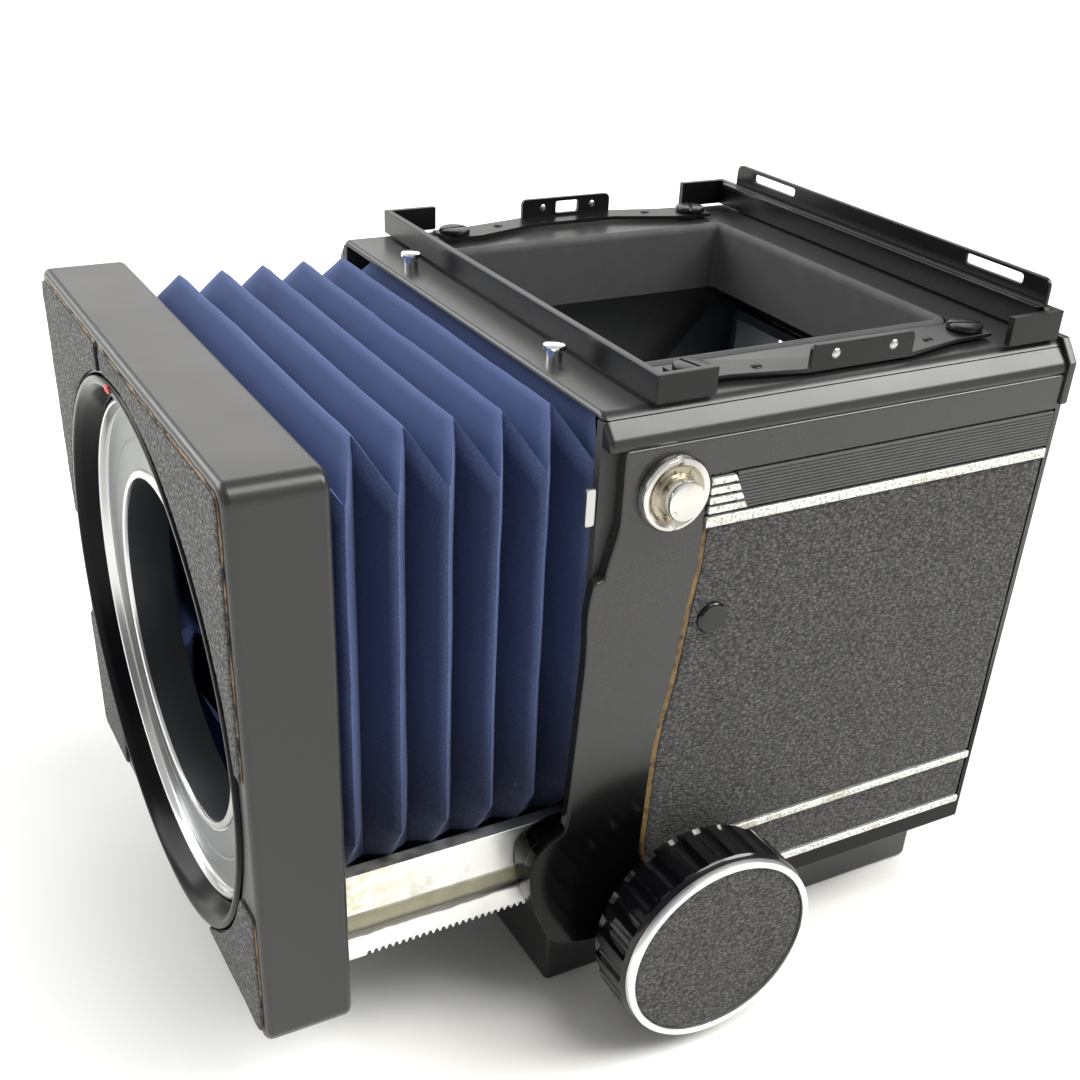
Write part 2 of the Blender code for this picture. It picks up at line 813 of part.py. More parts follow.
def lever_outline(pivot, hub, length, tip, lean):
    """A round hub with a tapering arm that ends in a round tip, leaning lean degrees from +Y."""
    points = arc(pivot, hub, lean + 55, lean + 305, 16)
    reach = (
        pivot[0] + (length - tip) * math.cos(math.radians(lean)),
        pivot[1] + (length - tip) * math.sin(math.radians(lean)),
    )
    return points + arc(reach, tip, lean - 85, lean + 85, 8)


def controls():
    cocking = outline(
        "cocking_lever",
        "YZ",
        lever_outline(COCKING_PIVOT, 9.0, 40.0, 3.6, 80),
        -55.2,
        -52.9,
        ENAMEL,
    )
    bevel(cocking, 0.4)
    pad = arc((COCKING_PIVOT[0] + 6.3, COCKING_PIVOT[1] + 35.7), 3.2, 0, 330, 11)
    hub = circle(COCKING_PIVOT, 7.4, 28)
    unite(cocking, outline("add_pad", "YZ", pad, -59.5, -54.0))
    unite(cocking, outline("add_hub", "YZ", hub, -57.0, -54.0))

    outline(
        "focus_lock_lever",
        "YZ",
        lever_outline((SHAFT_Y, SHAFT_Z), 6.5, 25.5, 2.6, 50),
        -55.4,
        -53.0,
        SATIN,
        [circle((SHAFT_Y, SHAFT_Z), 2.9, 24)],
    )

    housing = cylinder("release_housing", "-Y", (-57.3, 4.5, 58), 4.9, 15, ENAMEL, 32)
    unite(housing, box("add_foot", (-57.0, -1.5, 54.6), (-52.3, 10.5, 61.4)))
    cut(housing, cylinder("cut_button_bore", "-Y", (-57.3, 0, 58), 3.55, 19, segments=32))
    profile = ((0, 7.5), (2.8, 7.3), (3.2, 6.8), (3.2, -6.0), (0, -6.0))
    turned("release_button", "-Y", (-57.3, 0, 58), profile, CHROME, False, 32)

    pin = ((0, -82.0), (1.25, -82.0), (1.25, -93.2), (0.9, -93.5), (0, -93.5))
    turned("rear_interlock_pin", "-Y", (-44, 0, LENS_HEIGHT), pin, SATIN, False, 16)


def side_plug():
    profile = ((0, 52.8), (2.4, 52.8), (2.8, 52.5), (2.8, 51.5), (0, 51.5))
    return turned("side_plug_left", "+X", (0, 21.4, 81.0), profile, PLASTIC, False, 24)


# Assembly


def settle(obj):
    """Turns an object's modifiers into its mesh and shades its round faces smooth."""
    depsgraph = bpy.context.evaluated_depsgraph_get()
    mesh = bpy.data.meshes.new_from_object(obj.evaluated_get(depsgraph))
    obj.modifiers.clear()
    obj.data = mesh
    mesh.shade_smooth()
    mesh.set_sharp_from_angle(angle=math.radians(35))


def group(name, place, members, turn=0.0):
    """Hangs pieces on an empty that stands on their joint's axis."""
    empty = bpy.data.objects.new(name, None)
    PARTS.objects.link(empty)
    empty.location = Vector(place) * MM
    bpy.context.view_layer.update()
    for member in members:
        piece = bpy.data.objects[member]
        piece.parent = empty
        piece.matrix_parent_inverse = empty.matrix_world.inverted()
    empty.rotation_euler.x = turn


def build():
    front_frame()
    mount_collar()
    bayonet_ring()
    alignment_dot()
    front_leatherettes()
    focus_pinion_shaft()
    bellows()
    body_casting()
    top_cover()
    rear_plate()
    base_parts()
    finder_walls()
    finder_pins()
    latch_screws()
    screen_well()
    mirror_parts()
    controls()
    side_plug()
    for side in (1, -1):
        rail(side)
        knob(side)
        side_cover(side)
        side_leatherette(side)
        side_fittings(side)
        strap_lug(side)
        latch(side)
    bpy.context.view_layer.update()
    for piece in list(PARTS.objects):
        settle(piece)
    standard = [p.name for p in PARTS.objects if p.name.startswith(("front_", "rail_"))]
    standard += ["mount_collar", "bayonet_ring", "alignment_dot"]
    drive = [p.name for p in PARTS.objects if p.name.startswith("knob_")] + ["focus_pinion_shaft"]
    group("focus_slide_axis", (0, FRAME_FRONT, LENS_HEIGHT), standard)
    group("focus_knob_axis", (0, SHAFT_Y, SHAFT_Z), drive)
    mirror = ["mirror_frame", "mirror_glass"]
    group("mirror_axis", (0, *MIRROR_HINGE), mirror, MIRROR_REST_ANGLE)
    group("shield_axis", (0, *SHIELD_HINGE), ["light_shield"])
    group("cocking_axis", (-53, *COCKING_PIVOT), ["cocking_lever"])
    group("focus_lock_axis", (-54, SHAFT_Y, SHAFT_Z), ["focus_lock_lever"])
    for piece in PARTS.objects:
        if piece.parent is None:
            piece.location.y -= SHAFT_Y * MM


build()
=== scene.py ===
"""The finished look of a bellows-focusing reflex camera body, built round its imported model.

Sizes are in millimetres unless a name says otherwise, and the mesh helpers turn them into metres.
Pieces are drawn with y = 0 at the body's front, as the CAD source draws its parts, and are moved
to the row's origin when they are finished.
"""

from math import acos, asin, atan2, cos, degrees, hypot, pi, radians, sin, sqrt

import bmesh
import bpy
import numpy as np
from mathutils import Matrix, Vector, noise


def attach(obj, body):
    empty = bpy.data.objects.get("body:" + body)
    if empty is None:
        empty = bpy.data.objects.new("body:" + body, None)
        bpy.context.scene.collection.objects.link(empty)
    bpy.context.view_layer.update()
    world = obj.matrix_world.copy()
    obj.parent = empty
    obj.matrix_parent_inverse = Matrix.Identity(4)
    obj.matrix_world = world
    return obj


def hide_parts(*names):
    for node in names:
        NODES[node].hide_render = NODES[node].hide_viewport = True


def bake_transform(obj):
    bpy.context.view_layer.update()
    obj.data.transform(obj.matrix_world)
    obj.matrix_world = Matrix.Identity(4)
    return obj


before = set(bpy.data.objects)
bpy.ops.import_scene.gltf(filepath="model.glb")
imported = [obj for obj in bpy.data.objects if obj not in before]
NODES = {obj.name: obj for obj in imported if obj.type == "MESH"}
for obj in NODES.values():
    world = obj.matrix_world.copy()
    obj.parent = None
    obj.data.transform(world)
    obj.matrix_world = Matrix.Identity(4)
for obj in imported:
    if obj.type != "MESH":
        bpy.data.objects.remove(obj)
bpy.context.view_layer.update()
noise.seed_set(11)  # without it, noise_vector would differ from run to run

MM = 0.001
ORIGIN_Y = 20.5  # the row's origin lies this far behind the body's front
TO_ROW = Matrix.Translation((0, -ORIGIN_Y * MM, 0))
LENS_HEIGHT = 64.0
LENS_CENTRE = (0, 0, LENS_HEIGHT)
SHAFT_Y, SHAFT_Z = 20.5, 22.4
RING_STEPS = 192
BODY = "camera_body"
FRONT = "front_standard"
DRIVE = "focus_drive"

AXIS_TURNS = {
    "+X": Matrix.Rotation(pi / 2, 4, "Y"),
    "-X": Matrix.Rotation(-pi / 2, 4, "Y"),
    "+Y": Matrix.Rotation(-pi / 2, 4, "X"),
    "-Y": Matrix.Rotation(pi / 2, 4, "X"),
    "+Z": Matrix.Identity(4),
    "-Z": Matrix.Rotation(pi, 4, "X"),
}
PLANES = {
    "XY": Matrix.Identity(4),
    "YZ": Matrix(((0, 0, 1, 0), (1, 0, 0, 0), (0, 1, 0, 0), (0, 0, 0, 1))),
    "XZ": Matrix.Rotation(pi / 2, 4, "X"),
}

# The record's material slots, with the finishes that belong to each
SLOTS = {
    "enamel": ("enamel", "enamel_smooth", "finder_black"),
    "matt_black": ("lining", "flock", "plate_black"),
    "leatherette": ("leatherette", "old_glue"),
    "bellows_cloth": ("bellows_cloth",),
    "satin_steel": ("rail_steel", "ring_steel", "bright_rim", "steel"),
    "chrome": ("chrome", "nickel", "rim_silver", "tarnished"),
    "silver_trim": ("worn_silver",),
    "gloss_black": ("gloss_black", "dark_tube", "collar_black"),
    "mirror": ("mirror_silver",),
    "red_enamel": ("chipped_red",),
    "brass": ("brass",),
}
SLOT_OF = {finish: slot for slot, finishes in SLOTS.items() for finish in finishes}


def word(side):
    return "left" if side > 0 else "right"


def axis_word(side):
    return "+X" if side > 0 else "-X"


def shaded(colour, share):
    return tuple(share * c for c in colour)


# Shader helpers


class Nodes:
    """The nodes of a material or world. Most methods add nodes and give back an output socket."""

    def __init__(self, owner, end, **inputs):
        owner.use_nodes = True
        self.owner = owner
        self.tree = owner.node_tree
        self.end = self.tree.nodes[end]
        self.finish(**inputs)

    def finish(self, **inputs):
        """Links or sets inputs of the last node, and gives back the material or world."""
        self.fill(self.end, inputs)
        return self.owner

    def plug(self, socket, value):
        if isinstance(value, bpy.types.NodeSocket):
            self.tree.links.new(value, socket)
        else:
            opaque = socket.type == "RGBA" and len(value) == 3
            socket.default_value = (*value, 1) if opaque else value

    def fill(self, node, inputs):
        for key, value in inputs.items():
            self.plug(node.inputs[key.replace("_", " ")], value)

    def add(self, kind, settings=None, **inputs):
        """A node with its settings, and its inputs linked or set by name."""
        made = self.tree.nodes.new("ShaderNode" + kind)
        for key, value in (settings or {}).items():
            setattr(made, key, value)
        self.fill(made, inputs)
        return made

    def first(self, made, *values):
        """Gives a node its first inputs in order, and gives back its first output."""
        for socket, value in zip(made.inputs, values):
            self.plug(socket, value)
        return made.outputs[0]

    def calc(self, operation, a, b=0.0, clamp=False):
        return self.first(self.add("Math", {"operation": operation, "use_clamp": clamp}), a, b)

    def times(self, a, b, clamp=False):
        return self.calc("MULTIPLY", a, b, clamp)

    def plus(self, a, b):
        return self.calc("ADD", a, b)

    def mix(self, factor, a, b):
        made = self.add("Mix", {"data_type": "RGBA"})
        for index, value in ((0, factor), (6, a), (7, b)):
            self.plug(made.inputs[index], value)
        return made.outputs[2]

    def place(self):
        return self.add("TexCoord").outputs["Object"]

    def along(self, axis, vector=None):
        """One coordinate of the place on the piece, or of another vector."""
        return self.add("SeparateXYZ", Vector=vector or self.place()).outputs[axis]

    def grain(self, size_mm, detail=2.0, roughness=0.5, stretch=None):
        """Noise with features of about size_mm, from 0 to 1."""
        vector = self.place()
        if stretch:
            vector = self.add("Mapping", Vector=vector, Scale=stretch).outputs[0]
        scale = 1 / (size_mm * MM)
        return self.first(self.add("TexNoise", Scale=scale, Detail=detail, Roughness=roughness), vector)

    def remap(self, value, low, high, to_low=0.0, to_high=1.0):
        made = self.add("MapRange", {"clamp": True, "interpolation_type": "SMOOTHSTEP"})
        return self.first(made, value, low, high, to_low, to_high)

    def bump(self, height, depth_mm, strength=1.0, **below):
        made = self.add("Bump", Height=height, Distance=depth_mm * MM, Strength=strength, **below)
        return made.outputs[0]

    def dust(self, spacing_mm, size, amount):
        """Small pale specks, thinned out to a share of the cells."""
        voronoi = self.add("TexVoronoi", Vector=self.place(), Scale=1 / (spacing_mm * MM)).outputs
        near = self.remap(voronoi["Distance"], size, size * 0.5)
        return self.times(near, self.calc("LESS_THAN", voronoi["Color"], amount))


def material(name, **inputs):
    made = bpy.data.materials.new(name)
    made["slot"] = SLOT_OF.get(name, "")
    return Nodes(made, "Principled BSDF", **inputs)


# Materials


def enamel(name="enamel", roughness=0.28, colour=(0.017, 0.017, 0.0175), shade_heights=None, level=0.5):
    """Baked enamel with a few dust specks. Given shade heights, a painted shade turns it nearly black from
    the upper one down.
    """
    n = material(name, IOR=1.5, Specular_IOR_Level=level)
    specks = n.dust(7.5, 0.026, 0.06)
    tone = n.mix(n.grain(0.3, 2, 0.7), shaded(colour, 0.8), shaded(colour, 1.3))
    rough = n.remap(n.grain(18, 3), 0.3, 0.7, roughness, roughness + 0.05)
    if shade_heights:
        # painted shade: lower down the enamel is coloured nearly black and reflects less
        out_of_painted_shade = n.remap(n.along("Z"), *shade_heights)
        tone = n.mix(out_of_painted_shade, (0.002, 0.002, 0.0022), tone)
        rough = n.times(rough, n.remap(out_of_painted_shade, 0, 1, 0.5, 1.0))
        n.finish(Specular_IOR_Level=n.remap(out_of_painted_shade, 0, 1, 0.16, 0.62))
    tone = n.mix(specks, tone, (0.5, 0.5, 0.47))
    rough = n.plus(rough, n.times(specks, 0.4))
    return n.finish(Base_Color=tone, Roughness=rough, Normal=n.bump(specks, 0.03, 0.5))


def matt(name, colour, roughness=0.75):
    n = material(name)
    tone = n.mix(n.grain(3, 4), colour, shaded(colour, 1.5))
    rough = n.remap(n.grain(4, 3), 0.3, 0.7, roughness - 0.1, roughness)
    return n.finish(Base_Color=tone, Roughness=rough, Normal=n.bump(n.grain(0.25, 2), 0.02, 0.6))


def leatherette():
    """Pebbled grain: small soft cells crossed by wrinkles that run mostly sideways, with painted shade in
    the creases.
    """
    colour = (0.04, 0.0395, 0.0385)
    n = material("leatherette", IOR=1.5, Specular_IOR_Level=0.85)
    wander = n.add("TexNoise", Vector=n.place(), Scale=1 / (1.4 * MM), Detail=2.0).outputs["Color"]
    shift = n.add("VectorMath", {"operation": "SCALE"}, Vector=wander, Scale=0.8 * MM).outputs[0]
    moved = n.first(n.add("VectorMath", {"operation": "ADD"}), n.place(), shift)
    longer = n.add("Mapping", Vector=moved, Scale=(0.6, 0.6, 1.0)).outputs[0]
    cells = n.add("TexVoronoi", {"feature": "DISTANCE_TO_EDGE"}, Vector=longer, Scale=1 / (0.62 * MM))
    n.fill(cells, {"Randomness": 0.85})
    pebble = n.remap(cells.outputs["Distance"], 0.0, 0.42)
    wrinkle = n.remap(n.grain(0.5, 3, 0.6, (0.45, 0.45, 1.0)), 0.32, 0.66)
    height = n.plus(n.times(pebble, 0.6), n.times(wrinkle, 0.4))
    rubbed = n.mix(n.grain(14, 4), colour, shaded(colour, 1.4))
    # painted shade: the creases between the pebbles are coloured nearly black
    tone = n.mix(n.remap(height, 0.12, 0.55), shaded(colour, 0.08), rubbed)
    tone = n.mix(n.remap(height, 0.62, 0.95), tone, shaded(colour, 2.0))
    rough = n.remap(height, 0, 1, 0.85, 0.46)
    return n.finish(Base_Color=tone, Roughness=rough, Normal=n.bump(height, 0.13))


def bellows_cloth():
    """Navy book cloth with painted light: paler where it faces up, darker in a painted shade towards the
    base, and paler along the fold edges with wear and painted sheen.
    """
    n = material("bellows_cloth", Roughness=0.8, Specular_IOR_Level=0.3, Sheen_Weight=0.18)
    n.finish(Sheen_Roughness=0.4, Sheen_Tint=(0.45, 0.55, 0.95))
    wear_and_sheen = n.add("Attribute", {"attribute_name": "wear_and_sheen"}).outputs["Fac"]
    fuzz = n.remap(n.grain(0.3, 3, 0.7), 0.3, 0.75)
    # paler fold edges and corners: part wear, part painted sheen, fading out in the painted shade near the
    # base
    worn_and_sheen = n.times(wear_and_sheen, n.plus(0.45, n.times(fuzz, 0.6)), True)
    # painted light: faces that look up get a paler colour, the sides a darker one, and a painted shade
    # darkens the cloth towards the base
    facing = n.along("Z", n.add("NewGeometry").outputs["Normal"])
    above_painted_shade = n.remap(n.along("Z"), 0.044, 0.078)
    side = n.mix(above_painted_shade, (0.0015, 0.002, 0.005), (0.0145, 0.0245, 0.078))
    patch = n.mix(n.remap(facing, 0.15, 0.55), side, (0.041, 0.07, 0.18))
    thread = n.mix(n.times(fuzz, 0.3), patch, (0.05, 0.075, 0.19))
    tone = n.mix(n.times(worn_and_sheen, above_painted_shade), thread, (0.1, 0.14, 0.29))
    tone = n.mix(n.dust(5.0, 0.026, 0.12), tone, (0.4, 0.42, 0.5))
    weave = n.bump(n.times(threads(n, "X"), threads(n, "Z")), 0.02, 0.35)
    return n.finish(Base_Color=tone, Normal=n.bump(n.grain(0.3, 2), 0.02, 0.4, Normal=weave))


def threads(n, direction):
    inputs = {"Vector": n.place(), "Scale": 1 / (0.34 * MM) / 3.2, "Distortion": 1.2, "Detail": 1.0}
    return n.add("TexWave", {"bands_direction": direction}, **inputs).outputs["Fac"]


def rail_steel():
    """Satin plate with old grease in the groove, dark at its lower edge, and a stain near the front."""
    n = material("rail_steel", IOR=2.0)
    where = n.add("SeparateXYZ", Vector=n.place()).outputs
    wobble = n.times(n.calc("SUBTRACT", n.grain(5, 4), 0.5), 1.3 * MM)
    height = n.plus(where["Z"], wobble)
    band = n.times(n.remap(height, 0.0297, 0.0302), n.remap(height, 0.0352, 0.0338))
    stain = n.remap(n.grain(4, 5, 0.7), 0.4, 0.6)
    blotch = n.times(stain, n.remap(where["Y"], -0.040, -0.064))
    blotch = n.times(blotch, n.remap(where["Z"], 0.031, 0.035))
    smear = n.remap(n.grain(8, 5, 0.65), 0.5, 0.75, 0.0, 0.25)
    grease = n.calc("MAXIMUM", n.times(band, 0.94), smear)
    shade = n.times(n.remap(height, 0.0319, 0.0308), band)
    metal = n.mix(n.grain(5, 4), (0.86, 0.86, 0.84), (0.94, 0.94, 0.92))
    metal = n.mix(n.times(blotch, 0.7), metal, (0.62, 0.54, 0.25))
    old = n.mix(n.grain(3, 4, 0.7), (0.26, 0.235, 0.11), (0.09, 0.076, 0.02))
    tone = n.mix(grease, metal, n.mix(shade, old, (0.04, 0.032, 0.012)))
    rough = n.remap(n.grain(3, 4), 0.3, 0.7, 0.36, 0.5)
    lines = n.bump(n.grain(0.5, 3, 0.6, (1, 0.03, 1)), 0.005, 0.5)
    n.finish(Metallic=n.remap(grease, 0, 1, 1.0, 0.1))
    return n.finish(Base_Color=tone, Roughness=rough, Normal=lines)


def turned_steel(name, colour=(0.26, 0.27, 0.275), roughness=0.3, lean=0.85):
    """Satin metal with fine circular tool marks round the piece's own Z axis."""
    n = material(name, Metallic=1.0, Anisotropic=lean)
    tone = n.mix(n.grain(30, 2), colour, shaded(colour, 0.94))
    rough = n.remap(n.grain(20, 2), 0.3, 0.7, roughness, roughness + 0.04)
    tangent = n.add("Tangent", {"direction_type": "RADIAL", "axis": "Z"}).outputs[0]
    return n.finish(Base_Color=tone, Roughness=rough, Tangent=tangent)


def bright_metal(name, colour, roughness, tarnish=(0.4, 0.36, 0.27), tarnish_share=0.0):
    n = material(name, Metallic=1.0)
    spots = n.remap(n.grain(2.2, 5, 0.65), 0.72 - tarnish_share, 0.85 - tarnish_share)
    rough = n.remap(n.grain(2.5, 4), 0.3, 0.75, roughness, roughness + 0.12)
    rough = n.plus(rough, n.times(spots, 0.2))
    lumps = n.bump(n.grain(0.6, 3), 0.006, 0.5)
    return n.finish(Base_Color=n.mix(spots, colour, tarnish), Roughness=rough, Normal=lumps)


def worn_silver():
    """Silver strip whose plating is pitted and rubbed, so that it sparkles."""
    n = material("worn_silver", Metallic=0.85, IOR=1.6)
    pits = n.remap(n.grain(0.5, 4, 0.75), 0.5, 0.62)
    stained = n.remap(n.grain(6, 4), 0.52, 0.7)
    tone = n.mix(pits, n.mix(stained, (0.84, 0.84, 0.81), (0.6, 0.6, 0.52)), (0.33, 0.33, 0.27))
    rough = n.remap(pits, 0, 1, 0.32, 0.65)
    return n.finish(Base_Color=tone, Roughness=rough, Normal=n.bump(pits, 0.05, 0.8))


def gloss_black(name="gloss_black", roughness=0.1, colour=(0.004, 0.004, 0.005), level=0.5):
    n = material(name, IOR=1.5, Specular_IOR_Level=level)
    tone = n.mix(n.grain(8, 3), colour, shaded(colour, 1.3))
    smear = n.remap(n.grain(9, 4, 0.6), 0.4, 0.75, roughness, roughness + 0.06)
    return n.finish(Base_Color=tone, Roughness=smear, Normal=n.bump(n.grain(0.8, 2), 0.002, 0.4))


def glue():
    """Dried contact glue, yellow-brown with dark patches, that shows past the covering's edge."""
    n = material("old_glue", IOR=1.5)
    dark = n.remap(n.grain(2.5, 4, 0.7), 0.45, 0.68)
    tone = n.mix(n.grain(0.9, 4, 0.7), (0.11, 0.065, 0.02), (0.3, 0.19, 0.075))
    tone = n.mix(dark, tone, (0.035, 0.018, 0.008))
    rough = n.remap(n.grain(0.8, 3), 0.3, 0.7, 0.35, 0.7)
    return n.finish(Base_Color=tone, Roughness=rough, Normal=n.bump(n.grain(0.5, 4), 0.1, 0.8))


def mirror_silver():
    n = material("mirror_silver", Metallic=1.0)
    haze = n.remap(n.grain(9, 5, 0.6), 0.45, 0.75)
    tone = n.mix(haze, (0.78, 0.82, 0.9), (0.66, 0.7, 0.78))
    return n.finish(Base_Color=tone, Roughness=n.remap(haze, 0, 1, 0.02, 0.12))


def chipped_red():
    n = material("chipped_red", Roughness=0.45)
    chips = n.remap(n.grain(0.6, 3, 0.6), 0.55, 0.66)
    tone = n.mix(chips, (0.55, 0.035, 0.02), (0.25, 0.12, 0.08))
    return n.finish(Base_Color=tone, Normal=n.bump(chips, 0.05, 0.6))


ENAMEL = enamel()
# side cover enamel with a painted shade: nearly black at 42 mm height and below, fading out by 66 mm
ENAMEL_SMOOTH = enamel("enamel_smooth", 0.24, (0.02, 0.02, 0.0195), (0.042, 0.066))
FINDER_BLACK = enamel("finder_black", 0.26, (0.005, 0.005, 0.006), None, 0.32)
LINING = matt("lining", (0.042, 0.042, 0.043))
FLOCK = matt("flock", (0.008, 0.008, 0.009), 0.9)
LEATHER = leatherette()
CLOTH = bellows_cloth()
RAIL = rail_steel()
RING_STEEL = turned_steel("ring_steel")
BRIGHT_RIM = turned_steel("bright_rim", (0.62, 0.62, 0.62), 0.2, 0.4)
CHROME = bright_metal("chrome", (0.86, 0.86, 0.85), 0.08)
RIM_SILVER = bright_metal("rim_silver", (0.92, 0.92, 0.91), 0.3)
TARNISHED = bright_metal("tarnished", (0.42, 0.38, 0.3), 0.28, (0.12, 0.08, 0.04), 0.2)
NICKEL = bright_metal("nickel", (0.66, 0.65, 0.62), 0.12, (0.42, 0.36, 0.24), 0.1)
STEEL = bright_metal("steel", (0.55, 0.55, 0.54), 0.3)
SILVER = worn_silver()
GLOSS = gloss_black()
COLLAR_BLACK = gloss_black("collar_black", 0.2, (0.002, 0.002, 0.003), 0.1)
DARK_TUBE = gloss_black("dark_tube", 0.4, (0.016, 0.019, 0.022), 0.3)
GLUE = glue()
MIRROR = mirror_silver()
RED = chipped_red()
PLATE_BLACK = matt("plate_black", (0.045, 0.045, 0.046), 0.42)
BRASS = bright_metal("brass", (0.62, 0.46, 0.2), 0.25, (0.3, 0.2, 0.08), 0.05)


# Mesh helpers


def enter(obj, body, finishes, stands_for=()):
    """Moves a drawn object to the row's frame and puts it on its body."""
    finishes = list(finishes) if isinstance(finishes, (list, tuple)) else [finishes]
    if list(obj.data.materials) != finishes:
        if len(obj.data.materials):
            obj.data.materials.clear()
        for finish in finishes:
            obj.data.materials.append(finish)
    if obj.matrix_world == Matrix.Identity(4):
        obj.data.transform(TO_ROW)
    else:
        obj.matrix_world = TO_ROW @ obj.matrix_world
    if body:
        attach(obj, body)
    if stands_for:
        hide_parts(*stands_for)
    return obj


def keep(name, mesh, body, finishes, matrix=None, stands_for=()):
    """Adds a finished mesh to the scene, on a body."""
    made = loose(name, mesh)
    made.matrix_world = matrix or Matrix.Identity(4)
    return enter(made, body, finishes, stands_for)


def smooth(obj, angle):
    obj.data.shade_smooth()
    obj.data.set_sharp_from_angle(angle=radians(angle))


def weighted(obj):
    modifier = obj.modifiers.new("normals", "WEIGHTED_NORMAL")
    modifier.keep_sharp = True
    modifier.weight = 60


def fillet(points, radius, steps=4):
    """Rounds the corners of an outline, each within half of its shorter side."""
    result = []
    count = len(points)
    for i, here in enumerate(points):
        here = np.array(here, float)
        size = radius[i] if isinstance(radius, (list, tuple)) else radius
        if size <= 0:
            result.append(tuple(here))
            continue
        before = np.array(points[i - 1], float)
        after = np.array(points[(i + 1) % count], float)
        reach = min(size, np.linalg.norm(before - here) / 2, np.linalg.norm(after - here) / 2)
        start = here + (before - here) / np.linalg.norm(before - here) * reach
        end = here + (after - here) / np.linalg.norm(after - here) * reach
        for step in range(steps + 1):
            t = step / steps
            result.append(tuple((1 - t) ** 2 * start + 2 * t * (1 - t) * here + t * t * end))
    return result


def arc(centre, radius, start, end, steps):
    angles = np.radians(np.linspace(start, end, steps + 1))
    return [(centre[0] + radius * cos(a), centre[1] + radius * sin(a)) for a in angles]


def circle(centre, radius, steps=48):
    return arc(centre, radius, 0, 360 - 360 / steps, steps - 1)


def rounded_rectangle(low, high, radius, steps=6):
    (x0, y0), (x1, y1) = low, high
    points = []
    corners = ((x1, y1, 0), (x0, y1, 90), (x0, y0, 180), (x1, y0, 270))
    for x, y, start in corners:
        inner_x = x - radius if x == x1 else x + radius
        inner_y = y - radius if y == y1 else y + radius
        points += arc((inner_x, inner_y), radius, start, start + 90, steps)
    return points


def sided(side, low, high):
    return (low, high) if side > 0 else (-high, -low)


def loose(name, data):
    made = bpy.data.objects.new(name, data)
    bpy.context.scene.collection.objects.link(made)
    return made


def prism(name, plane, points, low, high):
    """A closed solid with a flat outline, from low to high along the plane's normal."""
    flip = -1 if plane == "XZ" else 1
    bm = bmesh.new()
    bottom = bm.faces.new([bm.verts.new((u * MM, v * MM, low * flip * MM)) for u, v in points])
    moved = bmesh.ops.extrude_face_region(bm, geom=[bottom])["geom"]
    lifted = [item for item in moved if isinstance(item, bmesh.types.BMVert)]
    bmesh.ops.translate(bm, vec=(0, 0, (high - low) * flip * MM), verts=lifted)
    bmesh.ops.recalc_face_normals(bm, faces=bm.faces)
    mesh = bpy.data.meshes.new(name)
    bm.to_mesh(mesh)
    bm.free()
    mesh.transform(PLANES[plane])
    return loose(name, mesh)


def block(name, low, high):
    (x0, y0, z0), (x1, y1, z1) = low, high
    return prism(name, "XY", [(x0, y0), (x1, y0), (x1, y1), (x0, y1)], z0, z1)


def bake(obj):
    """Applies an object's modifiers."""
    depsgraph = bpy.context.evaluated_depsgraph_get()
    mesh = bpy.data.meshes.new_from_object(obj.evaluated_get(depsgraph))
    obj.modifiers.clear()
    obj.data = mesh
    return obj


def bevel(obj, width, segments, angle):
    modifier = obj.modifiers.new("bevel", "BEVEL")
    modifier.width = width * MM
    modifier.segments = segments
    modifier.limit_method = "ANGLE"
    modifier.angle_limit = radians(angle)
    return modifier


def soften(obj, width, segments=3, angle=40):
    bevel(obj, width, segments, angle).use_clamp_overlap = True
    return bake(obj)


def carve(obj, *cutters, operation="DIFFERENCE"):
    """Cuts or joins other solids, then removes them."""
    for cutter in cutters:
        modifier = obj.modifiers.new("boolean", "BOOLEAN")
        modifier.operation = operation
        modifier.solver = "EXACT"
        modifier.object = cutter
        bake(obj)
        bpy.data.objects.remove(cutter)
    return obj


def join(obj, *others):
    return carve(obj, *others, operation="UNION")


def settle(obj, body, finishes, stands_for=()):
    """Gives a finished solid its shading, material and body."""
    enter(obj, body, finishes, stands_for)
    smooth(obj, 35)
    weighted(obj)
    return obj


def lathe_mesh(name, profile, ring=False, steps=RING_STEPS, bands=None):
    """Turns (radius, height) points, which run down the outer side, round the local Z axis.

    bands gives some stretches, counted from the profile's start, another material's index.
    """
    rings = []
    points = []
    for radius, height in profile:
        if radius < 1e-6:
            rings.append([len(points)])
            points.append((0, 0, height * MM))
            continue
        rings.append(list(range(len(points), len(points) + steps)))
        for step in range(steps):
            angle = 2 * pi * step / steps
            points.append((radius * cos(angle) * MM, radius * sin(angle) * MM, height * MM))
    faces = []
    indices = []
    pairs = list(zip(rings, rings[1:] + rings[:1] if ring else rings[1:]))
    for index, (upper, lower) in enumerate(pairs):
        for step in range(steps):
            following = (step + 1) % steps
            face = [upper[step % len(upper)], lower[step % len(lower)]]
            if len(lower) > 1:
                face.append(lower[following])
            if len(upper) > 1:
                face.append(upper[following])
            faces.append(face)
            indices.append((bands or {}).get(index, 0))
    mesh = bpy.data.meshes.new(name)
    mesh.from_pydata(points, [], faces)
    mesh.polygons.foreach_set("material_index", indices)
    return mesh


def seat(origin, axis):
    """The place of a turned piece: its origin, and the way its own Z axis points."""
    return Matrix.Translation(Vector(origin) * MM) @ AXIS_TURNS[axis]


def lathe(name, body, axis, origin, profile, finishes, ring=False, stands_for=(), steps=96, bands=None):
    mesh = lathe_mesh(name, profile, ring, steps, bands)
    made = keep(name, mesh, body, finishes, seat(origin, axis), stands_for)
    smooth(made, 40)
    return made


